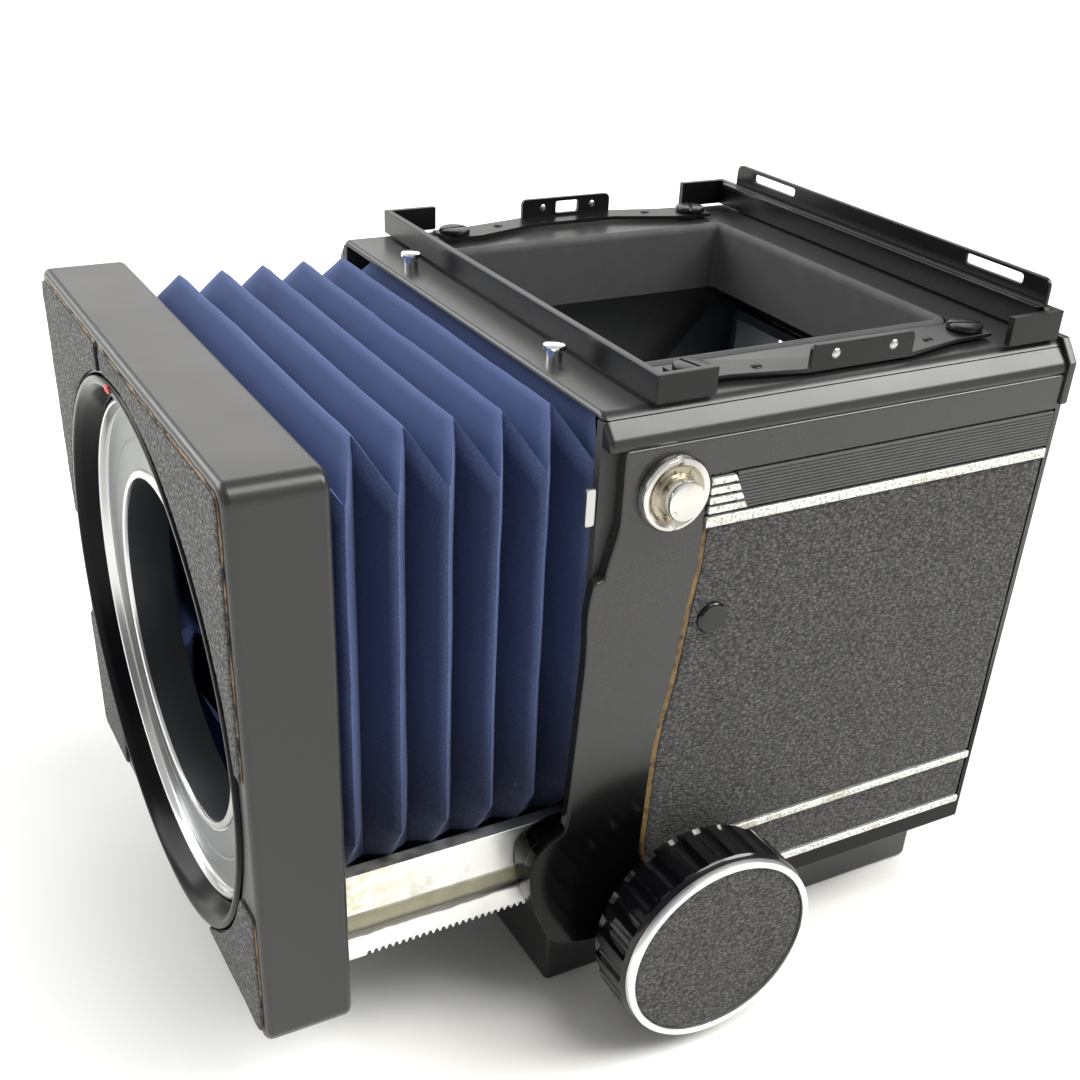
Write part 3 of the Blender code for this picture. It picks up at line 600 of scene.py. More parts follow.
def turned_out(mesh):
    """Turns every face of a closed mesh outwards."""
    bm = bmesh.new()
    bm.from_mesh(mesh)
    bmesh.ops.recalc_face_normals(bm, faces=bm.faces)
    bm.to_mesh(mesh)
    bm.free()
    return mesh


def drawn_mesh(name, points, faces):
    """A mesh from points in millimetres."""
    mesh = bpy.data.meshes.new(name)
    mesh.from_pydata([tuple(c * MM for c in p) for p in points], [], faces)
    return mesh


def closed_mesh(name, points, faces):
    return turned_out(drawn_mesh(name, points, faces))


def dress(node, finish, width, segments):
    """Keeps a CAD node's shape, with softly broken edges and a finish."""
    obj = NODES[node]
    obj.data.materials.clear()
    obj.data.materials.append(finish)
    obj.modifiers.new("weld", "WELD").merge_threshold = 0.00001
    if width:
        bevel(obj, width, segments, 30).harden_normals = False
    obj.data.shade_smooth()
    weighted(obj)


# Leather sheets


RELIEF = 0.1  # the height of the pebbles
GLUE_STEP = 0.5


def inside(points, u, v):
    """Which of the points (u, v) lie inside an outline."""
    result = np.zeros(u.shape, bool)
    for (u0, v0), (u1, v1) in zip(points, points[1:] + points[:1]):
        crosses = (v0 > v) != (v1 > v)
        if v1 != v0:
            result ^= crosses & (u < (u1 - u0) * (v - v0) / (v1 - v0) + u0)
    return result


def nearest_on(points, u, v):
    """The nearest point of an outline to each (u, v), and its distance."""
    best = np.full(u.shape, 1e9)
    best_u, best_v = u.copy(), v.copy()
    for (u0, v0), (u1, v1) in zip(points, points[1:] + points[:1]):
        du, dv = u1 - u0, v1 - v0
        length = du * du + dv * dv
        if length < 1e-12:
            continue
        t = np.clip(((u - u0) * du + (v - v0) * dv) / length, 0, 1)
        near_u, near_v = u0 + t * du, v0 + t * dv
        distance = np.hypot(u - near_u, v - near_v)
        closer = distance < best
        best = np.where(closer, distance, best)
        best_u = np.where(closer, near_u, best_u)
        best_v = np.where(closer, near_v, best_v)
    return best_u, best_v, best


def pebbles(u, v, size, seed):
    """Rounded cells of about this size: 0 in the creases, 1 on top of each pebble."""
    gu, gv = u / size, v / size
    base_u, base_v = np.floor(gu), np.floor(gv)
    nearest = np.full(u.shape, 9.0)
    for du in (-1, 0, 1):
        for dv in (-1, 0, 1):
            cu, cv = base_u + du, base_v + dv
            mix = np.sin(cu * 127.1 + cv * 311.7 + seed) * 43758.5453
            mix2 = np.sin(cu * 269.5 + cv * 183.3 + seed) * 24634.6345
            jitter_u, jitter_v = mix - np.floor(mix), mix2 - np.floor(mix2)
            distance = np.hypot(cu + jitter_u - gu, cv + jitter_v - gv)
            nearest = np.minimum(nearest, distance)
    return np.clip(1 - nearest**2 * 1.3, 0, 1)


def fray(points, step, amount, seed):
    """Cuts an outline into short steps and roughens it."""
    result = []
    for (u0, v0), (u1, v1) in zip(points, points[1:] + points[:1]):
        length = hypot(u1 - u0, v1 - v0)
        count = max(1, round(length / step))
        for i in range(count):
            t = i / count
            u, v = u0 + (u1 - u0) * t, v0 + (v1 - v0) * t
            shift = noise.noise_vector(Vector((u * 1.3, v * 1.3, seed))) * amount
            shift += noise.noise_vector(Vector((u * 0.25, v * 0.25, seed + 7))) * amount
            result.append((u + shift.x, v + shift.y))
    return result


def sheet(name, body, points, to_world, thickness, step, stands_for=(), seed=1.0):
    """A sheet of leatherette with a pebbled face, cut to an outline. to_world(u, v, h) places a point."""
    grid_u, grid_v = (np.arange(min(p) - step, max(p) + 2 * step, step) for p in zip(*points))
    mid_u, mid_v = np.meshgrid(grid_u[:-1] + step / 2, grid_v[:-1] + step / 2, indexing="ij")
    filled = inside(points, mid_u, mid_v)
    all_u, all_v = np.meshgrid(grid_u, grid_v, indexing="ij")
    touching = np.zeros(all_u.shape, int)
    for du in (0, 1):
        for dv in (0, 1):
            touching[du : du + filled.shape[0], dv : dv + filled.shape[1]] += filled
    number = np.full(all_u.shape, -1)
    used = touching > 0
    number[used] = np.arange(used.sum())
    u, v = all_u[used], all_v[used]
    near_u, near_v, distance = nearest_on(points, u, v)
    rim = touching[used] < 4
    u, v = np.where(rim, near_u, u), np.where(rim, near_v, v)
    edge = np.clip(np.where(rim, 0.0, distance) / 0.8, 0, 1)
    rise = RELIEF * pebbles(u, v, 0.95, seed) * (0.35 + 0.65 * edge) - 0.22 * thickness * (1 - edge) ** 2
    swell = np.array([noise.noise(Vector((a * 0.12, b * 0.12, seed))) for a, b in zip(u, v)])
    top = thickness - RELIEF + rise + 0.05 * swell
    count = len(u)
    placed = [to_world(a, b, h) for a, b, h in zip(u, v, top)]
    placed += [to_world(a, b, 0.0) for a, b in zip(u, v)]
    faces = []
    padded = np.pad(filled, 1)
    for i, j in zip(*np.nonzero(filled)):
        face = [number[i, j], number[i + 1, j], number[i + 1, j + 1], number[i, j + 1]]
        faces.append(face)
        faces.append([f + count for f in reversed(face)])
        sides = (
            (padded[i, j + 1], face[3], face[0]),
            (padded[i + 2, j + 1], face[1], face[2]),
            (padded[i + 1, j], face[0], face[1]),
            (padded[i + 1, j + 2], face[2], face[3]),
        )
        faces += [[b, a, a + count, b + count] for neighbour, a, b in sides if not neighbour]
    smooth(keep(name, closed_mesh(name, placed, faces), body, LEATHER, None, stands_for), 50)


def ribbon(name, body, points, to_world, inner, outer, height, seed, gap_share=0.45):
    """Dried glue along an open outline: patches that swell and fade away."""
    path = []
    for (u0, v0), (u1, v1) in zip(points, points[1:]):
        count = max(1, round(hypot(u1 - u0, v1 - v0) / GLUE_STEP))
        path += [(u0 + (u1 - u0) * i / count, v0 + (v1 - v0) * i / count) for i in range(count)]
    path.append(points[-1])
    path = np.array(path)
    along = np.gradient(path, axis=0)
    along /= np.linalg.norm(along, axis=1)[:, None] + 1e-9
    across = np.stack([along[:, 1], -along[:, 0]], axis=1)
    placed = []
    for (u, v), (nu, nv) in zip(path, across):
        swell = noise.noise(Vector((u * 0.35, v * 0.35, seed))) + 0.5 * noise.noise(Vector((u, v, seed)))
        amount = min(1.0, max(0.0, (swell + gap_share) * 1.3))
        reach = outer * amount
        rise = height * (0.25 + 0.75 * amount)
        section = ((-inner, 0.0), (-inner, rise), (reach * 0.6, rise * 0.9), (reach, 0.0))
        placed += [to_world(u + nu * a, v + nv * a, h) for a, h in section]
    last = len(placed) - 4
    faces = []
    for start in range(0, last, 4):
        for k in range(4):
            a, b = start + k, start + (k + 1) % 4
            faces.append((a, b, b + 4, a + 4))
    faces += [(3, 2, 1, 0), (last, last + 1, last + 2, last + 3)]
    smooth(keep(name, closed_mesh(name, placed, faces), body, GLUE), 60)


# Front standard


def front_shell():
    edge = rounded_rectangle((-52, 19), (52, 117), 3.0, 8)
    shell = soften(prism("front_shell", "XZ", edge, -56.6, -41.9), 1.3, 4)
    recess = prism("seat_cutter", "XZ", circle((0, LENS_HEIGHT), 48.1, RING_STEPS), -60, -47.4)
    hole = prism("hole_cutter", "XZ", circle((0, LENS_HEIGHT), 33, 96), -50, -44)
    hollow = block("hollow_cutter", (-50.6, -46.9, 20.4), (50.6, -40, 115.8))
    carve(shell, recess, hole, hollow)
    settle(shell, FRONT, ENAMEL, ["front_frame"])


def lens_collar():
    profile = [(46.5, 57.4), (47.4, 57.4), (47.8, 56.9), (47.8, 47.8), (44.1, 47.8)]
    profile = fillet(profile + [(44.1, 53.3), (45.5, 56.2)], 0.35, 3)
    nodes = ["mount_collar"]
    lathe("lens_collar", FRONT, "-Y", LENS_CENTRE, profile, COLLAR_BLACK, True, nodes, RING_STEPS)


def lens_ring():
    profile = [(42.35, 52.2), (42.5, 52.35), (42.6, 52.9), (42.9, 53.6), (43.2, 53.75), (43.7, 53.5)]
    profile += [(43.8, 53.2), (43.8, 48.3), (31.7, 48.3), (31.7, 44.5), (30.0, 44.5), (30.0, 52.1)]
    profile += [(30.2, 52.6), (30.6, 52.8), (31.2, 52.8), (31.6, 52.6), (31.8, 52.2), (36.4, 52.2)]
    profile += [(36.5, 52.1), (36.8, 52.1), (36.9, 52.2)]
    bands = dict.fromkeys((0, 1, 2, 3, 4, 5, 11, 12, 13, 14, 15), 1) | dict.fromkeys((8, 9, 10), 2)
    finishes = [RING_STEEL, BRIGHT_RIM, DARK_TUBE]
    nodes = ["bayonet_ring"]
    lathe("lens_ring", FRONT, "-Y", LENS_CENTRE, profile, finishes, True, nodes, RING_STEPS, bands)


def red_mark():
    """A dab of red paint on the collar's lip."""
    x0, z0 = -3.5, 110.95
    steps = 28
    points = [(x0, -57.86, z0)]
    for share, rise in ((0.45, 0.15), (0.8, 0.08), (1.0, 0.0)):
        for step in range(steps):
            angle = 2 * pi * step / steps
            wobble = 1 + 0.3 * noise.noise(Vector((cos(angle) * 1.7, sin(angle) * 1.7, 4)))
            x = x0 + 1.5 * share * wobble * cos(angle)
            z = z0 + 0.62 * share * wobble * sin(angle)
            points.append((x, -57.55 - rise - 0.1, z))
    base = len(points)
    points += [(x, -57.3, z) for x, y, z in points[-steps:]]
    faces = [(0, 1 + i, 1 + (i + 1) % steps) for i in range(steps)]
    for start in (1, 1 + steps, 1 + 2 * steps):
        for i in range(steps):
            a, b = start + i, start + (i + 1) % steps
            faces.append((a, a + steps, b + steps, b))
    faces.append(tuple(range(base, base + steps)))
    mark = keep("red_mark", closed_mesh("red_mark", points, faces), FRONT, RED, None, ["alignment_dot"])
    smooth(mark, 60)


def on_front(u, v, h):
    return (u, -56.65 - h, v)


def corner_outline(side, up, inner_end, outer_end, edge):
    """The outline of one corner piece of the front's covering, and its outer edge as an open line."""
    radius = 48.35
    half = 50.3
    start = degrees(asin(outer_end / radius))
    stop = degrees(acos(inner_end / radius))
    outer = [(inner_end, edge)] + arc((half - 2, edge - 2), 2.0, 90, 0, 6) + [(half, outer_end)]
    inner = arc((0, 0), radius, start, stop, 40)

    def placed(points):
        return [(side * u, LENS_HEIGHT + up * v) for u, v in points]

    return placed(outer + inner), placed(outer)


def front_covering():
    pieces = (
        ("left_upper", 1, 1, -9.0, 7.0, 51.3),
        ("right_upper", -1, 1, 12.0, 6.0, 51.3),
        ("left_lower", 1, -1, 22.5, 19.0, 43.3),
        ("right_lower", -1, -1, 33.0, 16.5, 43.3),
    )
    for index, (place, side, up, inner_end, outer_end, edge) in enumerate(pieces):
        outline, outer = corner_outline(side, up, inner_end, outer_end, edge)
        torn = fray(outline, 0.5, 0.16, 3 + index)
        node = "front_leatherette_" + place
        sheet("front_cover_" + place, FRONT, torn, on_front, 0.6, 0.4, [node], 5 + index)
        line = outer[::-1] if side * up > 0 else outer
        ribbon("glue_" + place, FRONT, line, on_front, 0.5, 0.5, 0.2, 3 + index)


# Bellows


FOLDS = 14
FOLD_PITCH = 3.895
BELLOWS_FRONT = -46.57
BELLOWS_BACK = 9.66


def fold_wave(phase):
    """A triangle wave with slightly rounded turns: 1 at even folds, -1 at odd ones."""
    k = 0.985
    return np.arcsin(k * np.cos(np.pi * phase)) / asin(k)


def bellows_section(wave, first):
    """The corners (x, z) of the tube's right half for one wave value, from the bottom up."""
    share = (wave + 1) / 2
    side = 40.15 + 6.95 * share
    low_side = 36.0 + 5.2 * share
    top = (115.2 if first else 116.0) - (5.8 if first else 6.6) * share
    bottom = 22.0 + 6.8 * share
    foot = min(side, 40.2 + 1.6 * share)
    low = ((0.0, bottom), (low_side, bottom), (low_side, 42.4), (foot, 43.6))
    return (*low, (side, 51.5), (side, top), (0.0, top))


def bellows_half(corners, wave):
    """Points (x, z, wear_and_sheen) up the tube's right half. wear_and_sheen rises towards 1 where the
    cloth is painted pale, part wear and part painted sheen.
    """
    half = []
    for edge, cut_count in enumerate((18, 10, 2, 10, 30, 20)):
        (x0, z0), (x1, z1) = corners[edge], corners[edge + 1]
        ridge = wave if edge in (1, 2, 3, 4) else -wave
        ridge_wear_and_sheen = max(0.0, (ridge - 0.86) / 0.14)
        for i in range(cut_count):
            t = i / cut_count
            near_corner = 1.0 if (i == 0 and edge in (1, 5)) else 0.0
            near_corner = max(near_corner, 0.5 if (i == cut_count - 1 and edge in (0, 4)) else 0.0)
            half.append((x0 + (x1 - x0) * t, z0 + (z1 - z0) * t, max(0.9 * near_corner, 0.75 * ridge_wear_and_sheen)))
    return half + [(*corners[6], max(0.0, (-wave - 0.86) / 0.14) * 0.75)]


def bellows_cloth_tube():
    phases = np.arange(0, FOLDS * 12 + 1) / 12
    stations = [BELLOWS_FRONT + FOLD_PITCH * p for p in phases] + [8.6, BELLOWS_BACK]
    waves = [float(w) for w in fold_wave(phases)] + [float(fold_wave(np.array(FOLDS)))] * 2
    points = []
    wear_and_sheen = []
    for y, wave in zip(stations, waves):
        half = bellows_half(bellows_section(wave, y < -38.8), wave)
        fade = max(0.0, min(1.0, (y - BELLOWS_FRONT) / 3, (BELLOWS_BACK - y) / 3))
        for x, z, r in half + [(-x, z, r) for x, z, r in half[-2:0:-1]]:
            wander = noise.noise_vector(Vector((x * 0.05, y * 0.12, z * 0.05))) * 0.24
            wander += noise.noise_vector(Vector((x * 0.2, y * 0.3, z * 0.2 + 9))) * 0.09
            wander *= fade
            points.append((x + wander.x, y + 0.8 * wander.y, z + wander.z))
            wear_and_sheen.append(r)
    around = len(points) // len(stations)
    faces = []
    for start in range(0, len(points) - around, around):
        for i in range(around):
            a, b = start + i, start + (i + 1) % around
            faces.append((a, b, b + around, a + around))
    mesh = drawn_mesh("bellows_cloth_tube", points, faces)
    mesh.attributes.new("wear_and_sheen", "FLOAT", "POINT").data.foreach_set("value", wear_and_sheen)
    made = loose("bellows_tube", mesh)
    thick = made.modifiers.new("thick", "SOLIDIFY")
    thick.thickness = 0.5 * MM
    thick.offset = -1
    turned_out(bake(made).data)
    enter(made, None, CLOTH, ["bellows"])
    smooth(made, 50)
    start = (0, -0.0466 - ORIGIN_Y * MM, 0.064)
    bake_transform(made)


# Focusing knobs


KNOB_RADIUS = 19.4
FLUTES = 24
FLUTE_RADIUS = 1.9
FLUTE_CIRCLE = 20.4  # the circle on which the round flutes' middles lie
FLUTE_END = 65.7


def flute_depth(angle, along):
    """How far the knob's wall lies inside its round body."""
    local = (angle + pi / FLUTES) % (2 * pi / FLUTES) - pi / FLUTES
    reach = FLUTE_RADIUS**2 - (FLUTE_CIRCLE * sin(local)) ** 2
    if reach <= 0:
        return 0.0
    wall = FLUTE_CIRCLE * cos(local) - sqrt(reach)
    depth = max(0.0, KNOB_RADIUS - wall)
    fade = min(1.0, max(0.0, (FLUTE_END - along) / 0.9))
    return depth * sqrt(1 - (1 - fade) ** 2)


def knob(side):
    rows = [(57.0, 18.9), (57.3, 19.25)] + [(x, KNOB_RADIUS) for x in (57.9, 60.0, 62.0, 63.2)]
    rows += [(64.5 + 0.1375 * i, KNOB_RADIUS) for i in range(9)]
    rows += [(65.75, 19.32), (66.0, 19.15), (66.25, 18.9), (66.5, 18.5)]
    profile = [(0, 66.5)] + [(r, x) for x, r in reversed(rows)]
    profile += [(18.6, 56.2), (2.7, 56.2), (2.7, 65.4), (0, 65.4)]
    mesh = lathe_mesh("knob_" + word(side), profile, False, 384)
    for vertex in mesh.vertices:
        along = vertex.co.z / MM
        radius = hypot(vertex.co.x, vertex.co.y)
        if radius > 18.7 * MM and along < FLUTE_END:
            cut = flute_depth(atan2(vertex.co.y, vertex.co.x), along) * MM
            vertex.co.x *= (radius - cut) / radius
            vertex.co.y *= (radius - cut) / radius
    origin = (0, SHAFT_Y, SHAFT_Z)
    axis = axis_word(side)
    name = "fluted_knob_" + word(side)
    smooth(keep(name, mesh, DRIVE, GLOSS, seat(origin, axis), ["knob_" + word(side)]), 32)
    rim = [(18.7, 68.0), (18.8, 67.85), (18.8, 66.7), (17.6, 66.7), (17.6, 67.9), (17.7, 68.0)]
    node = "knob_ring_" + word(side)
    lathe("knob_rim_" + word(side), DRIVE, axis, origin, rim, RIM_SILVER, True, [node], RING_STEPS)

    def on_knob(u, v, h):
        return (side * (66.7 + h), SHAFT_Y + u, SHAFT_Z + v)

    disc = circle((0, 0), 17.45, 120)
    node = "knob_disc_" + word(side)
    sheet("knob_cover_" + word(side), DRIVE, disc, on_knob, 0.85, 0.3, [node], 11 + side)


# Body shell


def top_shell():
    half = [(52, 112.0), (52, 113.0), (51.85, 113.8), (51.5, 114.4)]
    half += [(49.3, 116.8), (48.6, 117.3), (47.6, 117.5)]
    cover = prism("top_shell", "XZ", half + [(-x, z) for x, z in reversed(half)], 0, 91.3)
    soften(cover, 0.9, 3, 60)
    hollow = block("hollow_cutter", (-49.7, -5, 105), (49.7, 95, 116.5))
    well = rounded_rectangle((-35.2, 13.5), (35.2, 78.8), 3.0, 6)
    carve(cover, hollow, prism("well_cutter", "XY", well, 114, 120))
    settle(cover, BODY, ENAMEL, ["top_cover"])


def rear_lip():
    """The top cover's folded rear end, a little proud of it and cut off at the corners."""
    half = [(52.5, 107.0), (52.5, 114.3), (49.6, 117.95)]
    lip = prism("rear_lip", "XZ", half + [(-x, z) for x, z in reversed(half)], 89.8, 91.5)
    soften(lip, 0.3, 2)
    carve(lip, block("inner_cutter", (-50.4, 85, 100), (50.4, 95, 116.3)))
    settle(lip, BODY, ENAMEL)


# Outlines of the side covers, as (y, z, corner radius)
SIDE_EDGE = (
    (2.8, 112.3, 0), (2.8, 100.0, 2.4), (1.3, 95.1, 3), (0.7, 92.0, 0), (-1.0, 91.8, 0.6),
    (-1.9, 86.8, 2.5), (-1.5, 79.1, 4), (-2.5, 57.9, 6), (-3.2, 45.2, 1.6), (-7.2, 43.7, 2.5),
    (-9.6, 40.3, 3), (-9.3, 33.6, 3.5), (-7.7, 27.7, 4), (-4.0, 20.1, 2.5), (4.3, 18.0, 4),
    (91.0, 18.0, 0), (91.0, 112.3, 0),
)
LOBE_EDGE = (
    (-0.3, 44.3, 0), (-3.0, 44.3, 1), (-7.0, 42.9, 2), (-9.3, 40.0, 2.5), (-9.0, 33.7, 3),
    (-7.4, 27.8, 3), (-3.9, 20.6, 1.5), (-0.3, 20.6, 0),
)
POCKET_EDGE = (
    (17.6, 106.3, 0.6), (17.6, 92.0, 2), (16.4, 84.7, 4), (14.7, 70.0, 4), (12.6, 59.0, 5),
    (12.0, 35.3, 2.5), (13.7, 30.7, 2), (19.8, 28.2, 2), (26.8, 26.7, 1.5), (29.0, 22.3, 0.6),
    (89.6, 22.3, 0), (89.6, 106.3, 0),
)


def rounded_edge(edge):
    return fillet([(y, z) for y, z, _ in edge], [r for _, _, r in edge], 5)


def side_shell(side):
    cover = prism("side_shell_" + word(side), "YZ", rounded_edge(SIDE_EDGE), *sided(side, 49.7, 52))
    soften(cover, 0.7, 4, 50)
    lobe = prism("lobe", "YZ", rounded_edge(LOBE_EDGE), *sided(side, 45.4, 51.2))
    join(cover, soften(lobe, 1.4, 5, 50))
    pocket = prism("pocket_cutter", "YZ", rounded_edge(POCKET_EDGE), *sided(side, 51.3, 54))
    hole = prism("hole_cutter", "YZ", circle((SHAFT_Y, SHAFT_Z), 2.8, 48), *sided(side, 44, 56))
    carve(cover, pocket, hole)
    settle(cover, BODY, ENAMEL_SMOOTH, ["side_cover_" + word(side)])


LEATHER_EDGE = (
    (18.8, 97.2, 0), (18.8, 92.0, 2), (17.7, 84.7, 4), (16.1, 70.0, 4), (14.0, 59.0, 5),
    (13.4, 36.0, 2.5), (14.9, 31.7, 2), (20.2, 29.3, 2), (27.0, 27.6, 1.5), (28.6, 24.4, 0.4),
    (89.3, 24.4, 0), (89.3, 33.2, 0), (30.7, 33.2, 0), (30.7, 35.3, 0), (89.3, 35.3, 0),
    (89.3, 97.2, 0),
)


def side_covering(side):
    def on_side(u, v, h):
        return (side * (51.35 + h), u, v)

    outline = rounded_edge(LEATHER_EDGE)
    node = "side_leatherette_" + word(side)
    torn = fray(outline, 0.6, 0.08, 21 + side)
    sheet("side_cover_grain_" + word(side), BODY, torn, on_side, 0.75, 0.42, [node], 31 + side)
    front = outline[:40]
    ribbon("glue_side_" + word(side), BODY, front, on_side, 0.6, 1.15, 0.32, 8 + side, 1.1)


def name_plate(side):
    """A black strip with fine ribs along it."""
    ribs = 11
    pitch = 6.3 / ribs
    profile = [(51.4, 99.55)]
    for rib in range(ribs):
        z = 99.65 + pitch * rib
        profile += [(52.05, z), (52.25, z + 0.2 * pitch)]
        profile += [(52.25, z + 0.7 * pitch), (52.05, z + 0.9 * pitch)]
    profile += [(51.4, 106.0)]
    points = [(side * x, y, z) for y in (23.1, 89.2) for x, z in profile]
    count = len(profile)
    faces = [tuple(range(count)), tuple(range(2 * count - 1, count - 1, -1))]
    faces += [(i, count + i, count + (i + 1) % count, (i + 1) % count) for i in range(count)]
    name = "name_strip_" + word(side)
    keep(name, closed_mesh(name, points, faces), BODY, PLATE_BLACK, None, ["name_plate_" + word(side)])


def plate_bars(side):
    """The stepped bars at the front end of the name strip."""
    bars = None
    start = 18.3
    for index in range(4):
        z = 99.7 + 1.6 * index
        end = 25.6 - 0.75 * index
        points = [(start, z), (end, z), (end - 0.6, z + 1.15), (start, z + 1.15)]
        bar = soften(prism("bar", "YZ", points, *sided(side, 51.4, 52.3)), 0.15, 2)
        bars = join(bars, bar) if bars else bar
    bars.name = "plate_bars_" + word(side)
    settle(bars, BODY, SILVER)


def strap_stud(side):
    """A straight stud on a washer with a raised lip, notched at its top and bottom."""
    profile = [(0, 56.3), (2.7, 56.3), (3.05, 56.15), (3.2, 55.8), (3.2, 53.7), (3.5, 53.3), (4.3, 53.2)]
    profile += [(4.8, 53.5), (5.2, 53.75), (5.7, 53.6), (6.05, 53.1), (6.05, 52.1), (0, 52.1)]
    mesh = lathe_mesh("strap_stud", profile, False, 96, dict.fromkeys((4, 5, 6), 1))
    stud = loose("strap_stud_" + word(side), mesh)
    for finish in (NICKEL, TARNISHED):
        stud.data.materials.append(finish)
    for x in (5.5, -5.5):
        carve(stud, block("slot_cutter", (x - 0.9, -0.38, 52.9), (x + 0.9, 0.38, 55)))
    stud.matrix_world = seat((0, 11.25, 104.75), axis_word(side))
    settle(stud, BODY, [NICKEL, TARNISHED], ["strap_lug_" + word(side)])


# Finder seat


def well_rim():
    """The soft-edged frame of the finder well, lofted from rounded rectangles."""
    profile = [(0.0, 105.0), (0.0, 117.2), (0.15, 117.6), (0.5, 117.85), (1.0, 117.9)]
    profile += [(1.5, 117.75), (1.9, 117.3), (2.0, 116.5), (2.0, 105.0)]
    points = []
    for inset, z in profile:
        low, high = (-34.9 + inset, 13.8 + inset), (34.9 - inset, 78.5 - inset)
        loop = rounded_rectangle(low, high, 2.9 - inset, 8)
        points += [(x, y, z) for x, y in loop]
    count = len(loop)
    faces = []
    for row in range(len(profile)):
        a, b = row * count, (row + 1) % len(profile) * count
        for i in range(count):
            following = (i + 1) % count
            faces.append((a + i, a + following, b + following, b + i))
    rim = keep("well_rim", closed_mesh("well_rim", points, faces), BODY, LINING, None, ["screen_well"])
    smooth(rim, 40)


def latch_screw(side, end, y):
    name = "latch_screw_" + end + "_" + word(side)
    profile = [(0, 119.8), (2.5, 119.8), (2.85, 119.65), (3.0, 119.4), (3.0, 118.95), (0.9, 118.95)]
    profile += [(0.9, 117.7), (0, 117.7)]
    screw = loose("seat_screw_" + end + "_" + word(side), lathe_mesh(name, profile, False, 64))
    carve(screw, block("slot_cutter", (-0.32, -4, 119.4), (0.32, 4, 121)))
    turn = Matrix.Rotation(radians(35 + 50 * side + y), 4, "Z")
    screw.matrix_world = seat((side * 41.5, y, 0), "+Z") @ turn
    settle(screw, BODY, FINDER_BLACK, [name])


def finder_pin(side):
    profile = [(0, 120.35), (1.45, 120.3), (1.8, 120.1), (1.85, 119.85), (1.85, 119.5), (1.6, 119.35)]
    profile += [(1.25, 119.3), (1.25, 117.45), (0, 117.45)]
    name = "hook_pin_" + word(side)
    node = "finder_pin_" + word(side)
    lathe(name, BODY, "+Z", (side * 27, 4.3, 0), profile, CHROME, False, [node], 64)


def dome(radius, height):
    profile = ((0, 1), (0.5, 0.86), (0.85, 0.5), (1, 0.1))
    return [(share * radius, rise * height) for share, rise in profile] + [(radius, -0.2), (0, -0.2)]


def rivets():
    """Rivet heads on the latches: both faces of the tabs, and the tops of the straps."""
    for side in (1, -1):
        for index in (0, 1):
            mark = word(side) + str(index + 1)
            tab_y = (42.5, 54.0)[index]
            heads = (
                ("tab_rivet_", axis_word(side), (47.65, tab_y, 120.5), (0.85, 0.35), STEEL),
                ("tab_rivet_end_", axis_word(-side), (46.95, tab_y, 120.5), (0.7, 0.3), STEEL),
                ("strap_rivet_", "+Z", (43.6, (30.5, 65.0)[index], 118.65), (1.0, 0.4), FINDER_BLACK),
            )
            for name, axis, (x, y, z), size, finish in heads:
                body = "finder_latch_" + word(side)
                lathe(name + mark, body, axis, (side * x, y, z), dome(*size), finish, steps=32)


def body_clip():
    """The bright end of the side cover's catch, beside the bellows."""
    points = fillet([(-2.7, 100.8), (-1.1, 100.8), (-1.1, 106.8), (-2.7, 106.8)], 0.5, 4)
    clip = soften(prism("body_clip", "YZ", points, 49.8, 50.7), 0.2, 2)
    settle(clip, BODY, STEEL)


# Back and base


def cross_screw(name, axis, origin, radius):
    """A domed screw head with a cross recess."""
    profile = [(0, 0.55), (0.5 * radius, 0.5), (0.85 * radius, 0.32), (radius, 0.08), (radius, -0.3)]
    head = loose(name, lathe_mesh(name, profile + [(0, -0.3)], False, 48))
    arm, half = 0.6 * radius, 0.13 * radius
    for x, y in ((arm, half), (half, arm)):
        carve(head, block("arm", (-x, -y, 0.12), (x, y, 1)))
    head.matrix_world = seat(origin, axis)
    settle(head, BODY, STEEL)


def back_details():
    """Screws, light traps and seal strips round the film gate."""
    for x in (44.5, -44.5):
        for height, z in (("lower_", 24.0), ("upper_", 110.5)):
            cross_screw("back_screw_" + height + word(x), "+Y", (x, 91.5, z), 1.9)
    outer = rounded_rectangle((-39.0, 25.0), (39.0, 103.0), 2.2, 6)
    inner = rounded_rectangle((-37.4, 26.6), (37.4, 101.4), 1.4, 6)
    trap = prism("gate_rib", "XZ", outer, 91.3, 92.3)
    carve(trap, prism("inner_cutter", "XZ", inner, 90, 94))
    soften(trap, 0.25, 3, 50)
    settle(trap, BODY, LINING)
    for side in (1, -1):
        low, high = sided(side, 40.4, 42.2)
        strip = soften(block("gate_seal_" + word(side), (low, 91.4, 27.0), (high, 92.1, 101.0)), 0.3, 3)
        settle(strip, BODY, FLOCK)


def base_details():
    for x in (34.0, -34.0):
        for end, y in (("front_", 10.0), ("rear_", 81.0)):
            cross_screw("base_screw_" + end + word(x), "-Z", (x, y, 0.6), 2.4)


# Carried-over CAD parts


